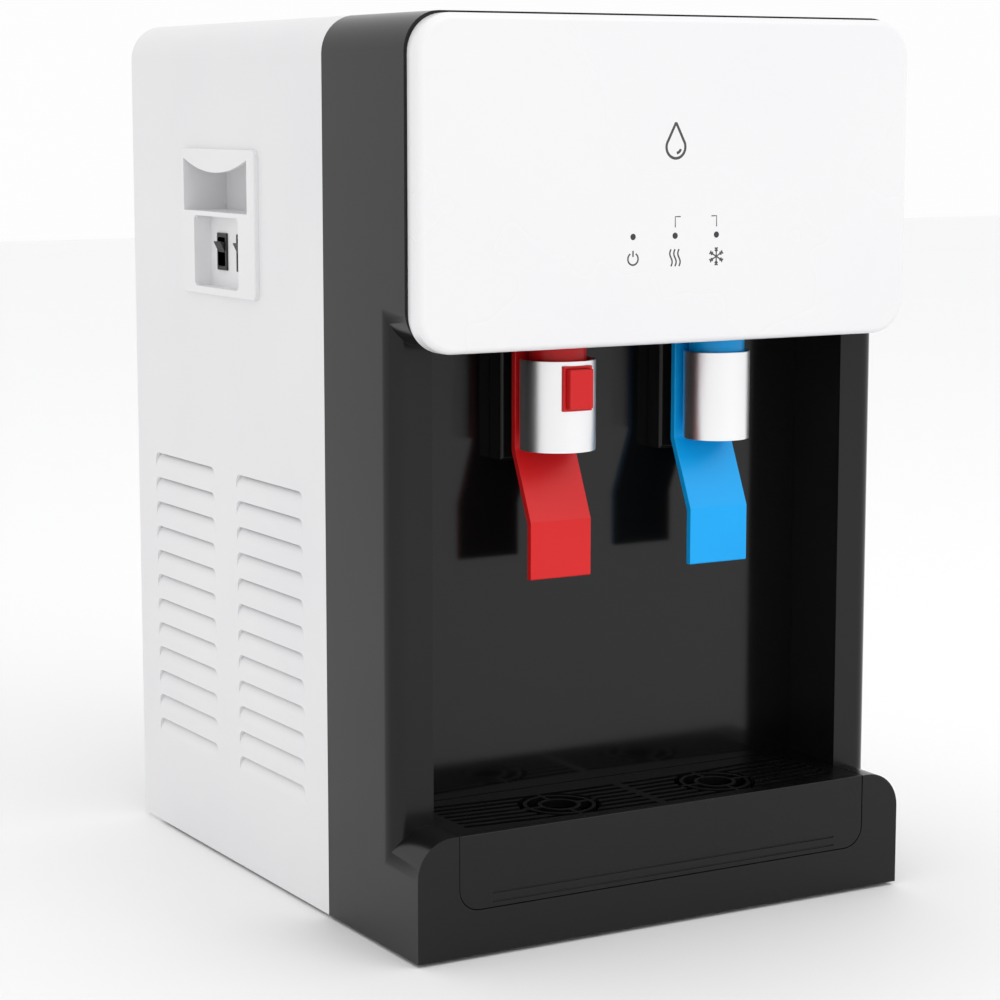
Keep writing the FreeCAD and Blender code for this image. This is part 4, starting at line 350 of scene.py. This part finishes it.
# Most pieces that show get a copy with softened edges: its finish and the edges' width in metres
softened = {
    "cabinet_wrap": ("whiteEnamel", 0.0), "fascia_panel": ("whitePanel", 0.0004),
    "grip_bezel_left": ("whiteMoulding", 0.0004), "grip_bezel_right": ("whiteMoulding", 0.0004),
    "front_shell": ("blackShell", 0.0006), "bay_back_panel": ("blackMirror", 0.0003),
    "drip_tray": ("blackTray", 0.0003), "drip_grille": ("blackTray", 0.0004),
    "tap_brackets": ("blackShell", 0.0005),
    "hot_tap_sleeve": ("satinSteel", 0.0004), "cold_tap_sleeve": ("satinSteel", 0.0004),
    "hot_tap_body": ("redPlastic", 0.0004), "cold_tap_body": ("bluePlastic", 0.0004),
    "hot_lever": ("redPlastic", 0.0006), "cold_lever": ("bluePlastic", 0.0006),
    "lock_frame": ("redPlastic", 0.0003), "lock_button": ("redPlastic", 0.0003),
    "tap_nozzles": ("nozzleGrey", 0.0005), "switch_housings": ("switchBlack", 0.0003),
    "hot_switch_rocker": ("switchBlack", 0.0004), "cold_switch_rocker": ("switchBlack", 0.0004),
    "rear_panel": ("zincSheet", 0.0002), "rubber_feet": ("footRubber", 0.0008),
    "water_inlet": ("whiteMoulding", 0.0008), "drain_spigots": ("nozzleGrey", 0.0004),
    "hot_drain_cap": ("capRubber", 0.0005), "cold_drain_cap": ("capRubber", 0.0005),
    "cord_gland": ("nozzleGrey", 0.0008), "condenser_clips": ("nozzleGrey", 0.0006),
    "base_pan": ("zincSheet", 0.0002),
}
for node, (finish, edge) in softened.items():
    smoothAngle = 14 if node == "cabinet_wrap" else 32  # the pressed louvres keep their crisp rims
    softCopy(node, node.replace("_", "-") + "-finished", materials[finish], edge, smoothAngle=smoothAngle)
print("softened pieces ready:", len(softened))

# The rest keep their mesh and only get a finish
plainFinish = {
    "rear_panel_screws": "screwZinc", "condenser_tube": "blackEnamel", "condenser_wires": "blackEnamel",
    "compressor": "blackEnamel", "compressor_grommets": "footRubber", "indicator_lenses": "lensDark",
    "control_board": "boardGreen", "evaporator_coil": "copperTube", "filter_drier": "copperTube",
    "hot_tank_jacket": "foamJacket", "cold_tank_jacket": "foamJacket", "water_tubes": "tubeMilky",
    "tank_shelf": "zincSheet", "lever_springs": "screwZinc", "lock_spring": "screwZinc",
    "lever_pins": "satinSteel", "hot_tank": "satinSteel", "cold_tank": "satinSteel",
    "tank_thermostats": "satinSteel",
    "band_heater": "screwZinc", "inlet_valve": "nozzleGrey", "filter_head": "nozzleGrey",
}
for node, item in nodes.items():
    if node not in softened:
        dress(item, materials[plainFinish.get(node, "whiteMoulding")])

# Printed marks on the front panel: plain symbols drawn as thin raised ink

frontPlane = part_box("fascia_panel")[0][1]
lensLow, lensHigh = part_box("indicator_lenses")
lensHeight = (lensLow[2] + lensHigh[2]) / 2
lensRadius = 0.0016
lensSpacing = (lensHigh[0] - lensLow[0]) / 2 - lensRadius
# Metres, but flat is the share of a stroke's thickness that is left
marks = dict(stroke=0.00045, flat=0.05, fall=0.0113, powerRadius=0.0031, waveHeight=0.0088,
             flakeRadius=0.0046, bracketLow=0.0043, bracketHigh=0.0098, bracketReach=0.0033,
             dropRise=0.0455, dropRadius=0.0058, dropPoint=0.0125)


# Round strokes along paths of (across, up), pressed flat so that they lie on the panel as ink does
def inkStrokes(name, paths, at, stroke, flat, material):
    deselectAll()
    bpy.ops.curve.primitive_nurbs_path_add(location=(0, 0, 0))
    ink = bpy.context.object
    ink.name = name
    ink.data.splines.clear()
    for path in paths:
        spline = ink.data.splines.new("POLY")
        spline.points.add(len(path) - 1)
        for point, (across, up) in zip(spline.points, path):
            point.co = (across, 0, up, 1)
    ink.data.dimensions = "3D"
    ink.data.bevel_depth = stroke
    ink.data.bevel_resolution = 2
    ink.data.use_fill_caps = True
    bpy.ops.object.convert(target="MESH")
    ink = bpy.context.object
    ink.scale = (1, flat, 1)
    ink.location = at
    placeInMesh(ink)
    smooth(ink)
    settle(ink, "cabinet", material)


# Degrees, clockwise from the top
def arcPath(radius, start, end, steps=28):
    angles = [math.radians(start + (end - start) * step / steps) for step in range(steps + 1)]
    return [(radius * math.sin(angle), radius * math.cos(angle)) for angle in angles]


def wavePath(across, height, swing, steps=24):
    return [(across + swing * math.sin(2 * math.pi * step / steps), height * (step / steps - 0.5))
            for step in range(steps + 1)]


def flakePaths(radius):
    paths = []
    for arm in range(6):
        angle = math.radians(60 * arm)
        along = Vector((math.sin(angle), math.cos(angle)))
        side = Vector((along.y, -along.x))
        paths.append([(0, 0), tuple(along * radius)])
        for reach in (0.55, 0.8):  # two pairs of twigs on each arm
            root = along * radius * reach
            for way in (-1, 1):
                tip = root + along * radius * 0.2 + side * way * radius * 0.2
                paths.append([tuple(root), tuple(tip)])
    return paths


# A water drop: most of a circle, closed by two lines that meet above it
def dropPath(radius, point, steps=36):
    circle = arcPath(radius, 55, 305, steps)
    return [(0, point), *circle, (0, point)]


def panelMarks(settings, material):
    level = lensHeight - settings["fall"]
    radius = settings["powerRadius"]
    power = [arcPath(radius, 32, 328), [(0, radius * 0.35), (0, radius * 1.35)]]
    waves = [wavePath(offset * radius * 0.8, settings["waveHeight"], radius * 0.24)
             for offset in (-1, 0, 1)]
    low, high, reach = settings["bracketLow"], settings["bracketHigh"], settings["bracketReach"]
    brackets = [[(0, low), (0, high), (reach, high)],
                [(lensSpacing, low), (lensSpacing, high), (lensSpacing - reach, high)]]
    drop = [dropPath(settings["dropRadius"], settings["dropPoint"]),
            arcPath(settings["dropRadius"] * 0.55, 110, 170, 12)]  # the short arc is a glint inside
    # Each mark with its place across and up, and how thick its strokes are beside the usual
    drawn = [("power-mark", power, -lensSpacing, level, 1.0),
             ("heat-mark", waves, 0, level, 1.0),
             ("cold-mark", flakePaths(settings["flakeRadius"]), lensSpacing, level, 0.8),
             ("bracket-mark", brackets, 0, lensHeight, 0.7),
             ("drop-mark", drop, 0, lensHeight + settings["dropRise"], 1.6)]
    for name, paths, across, up, weight in drawn:
        inkStrokes(name, paths, (across, frontPlane, up), settings["stroke"] * weight,
                   settings["flat"], material)


panelMarks(marks, materials["markGrey"])
print("panel marks ready")

# Floor, light and camera: metres and watts
studio = dict(sky=(1.0, 1.0, 1.0), skyStrength=0.985, floor=(0.95, 0.95, 0.952), floorShade=0.995,
              floorSize=14)
softboxes = {
    "key-light": dict(place=(0.9, -2.2, 1.9), aim=(0, 0, 0.3), size=1.8, power=10.0),
    "top-light": dict(place=(0, -0.4, 2.6), aim=(0, 0, 0), size=2.2, power=4.5),
}


def makeFloor(settings):
    deselectAll()
    bpy.ops.mesh.primitive_plane_add(size=settings["floorSize"], location=(0, 0, 0))
    floor = bpy.context.object
    floor.name = "studio-floor"
    shade = tuple(settings["floorShade"] * tone for tone in settings["floor"])
    material = makeFinish("paleFloor", dict(colour=settings["floor"], shade=shade, rough=(0.55, 0.65),
                                            patch=1.5, grain=60.0, bump=0.01, specular=0.2))
    dress(floor, material)


def makeSky(settings):
    world = bpy.data.worlds.new("paleSky")
    bpy.context.scene.world = world
    world.use_nodes = True
    background = world.node_tree.nodes["Background"]
    background.inputs["Color"].default_value = (*settings["sky"], 1)
    background.inputs["Strength"].default_value = settings["skyStrength"]


def makeSoftbox(name, settings):
    deselectAll()
    bpy.ops.object.light_add(type="AREA", location=settings["place"])
    lamp = bpy.context.object
    lamp.name = name
    lamp.data.shape = "RECTANGLE"
    lamp.data.size = settings["size"]
    lamp.data.size_y = settings["size"]
    lamp.data.energy = settings["power"]
    towards = Vector(settings["aim"]) - Vector(settings["place"])
    lamp.rotation_euler = towards.to_track_quat("-Z", "Y").to_euler()


# From the left of the front and a little above; turn and down in degrees, lens and sensor in millimetres
view = dict(place=(-0.7856, -1.3572, 0.4354), turn=30.01, down=8.263, lens=98.18, sensor=36)


def makeCamera(settings):
    deselectAll()
    bpy.ops.object.camera_add(location=settings["place"])
    camera = bpy.context.object
    camera.data.sensor_width = settings["sensor"]
    camera.data.lens = settings["lens"]
    camera.rotation_euler = (math.radians(90 - settings["down"]), 0, math.radians(-settings["turn"]))
    bpy.context.scene.camera = camera


makeFloor(studio)
makeSky(studio)
for name, settings in softboxes.items():
    makeSoftbox(name, settings)
makeCamera(view)
bpy.context.scene.view_settings.view_transform = "Standard"
print("floor, light and camera ready")
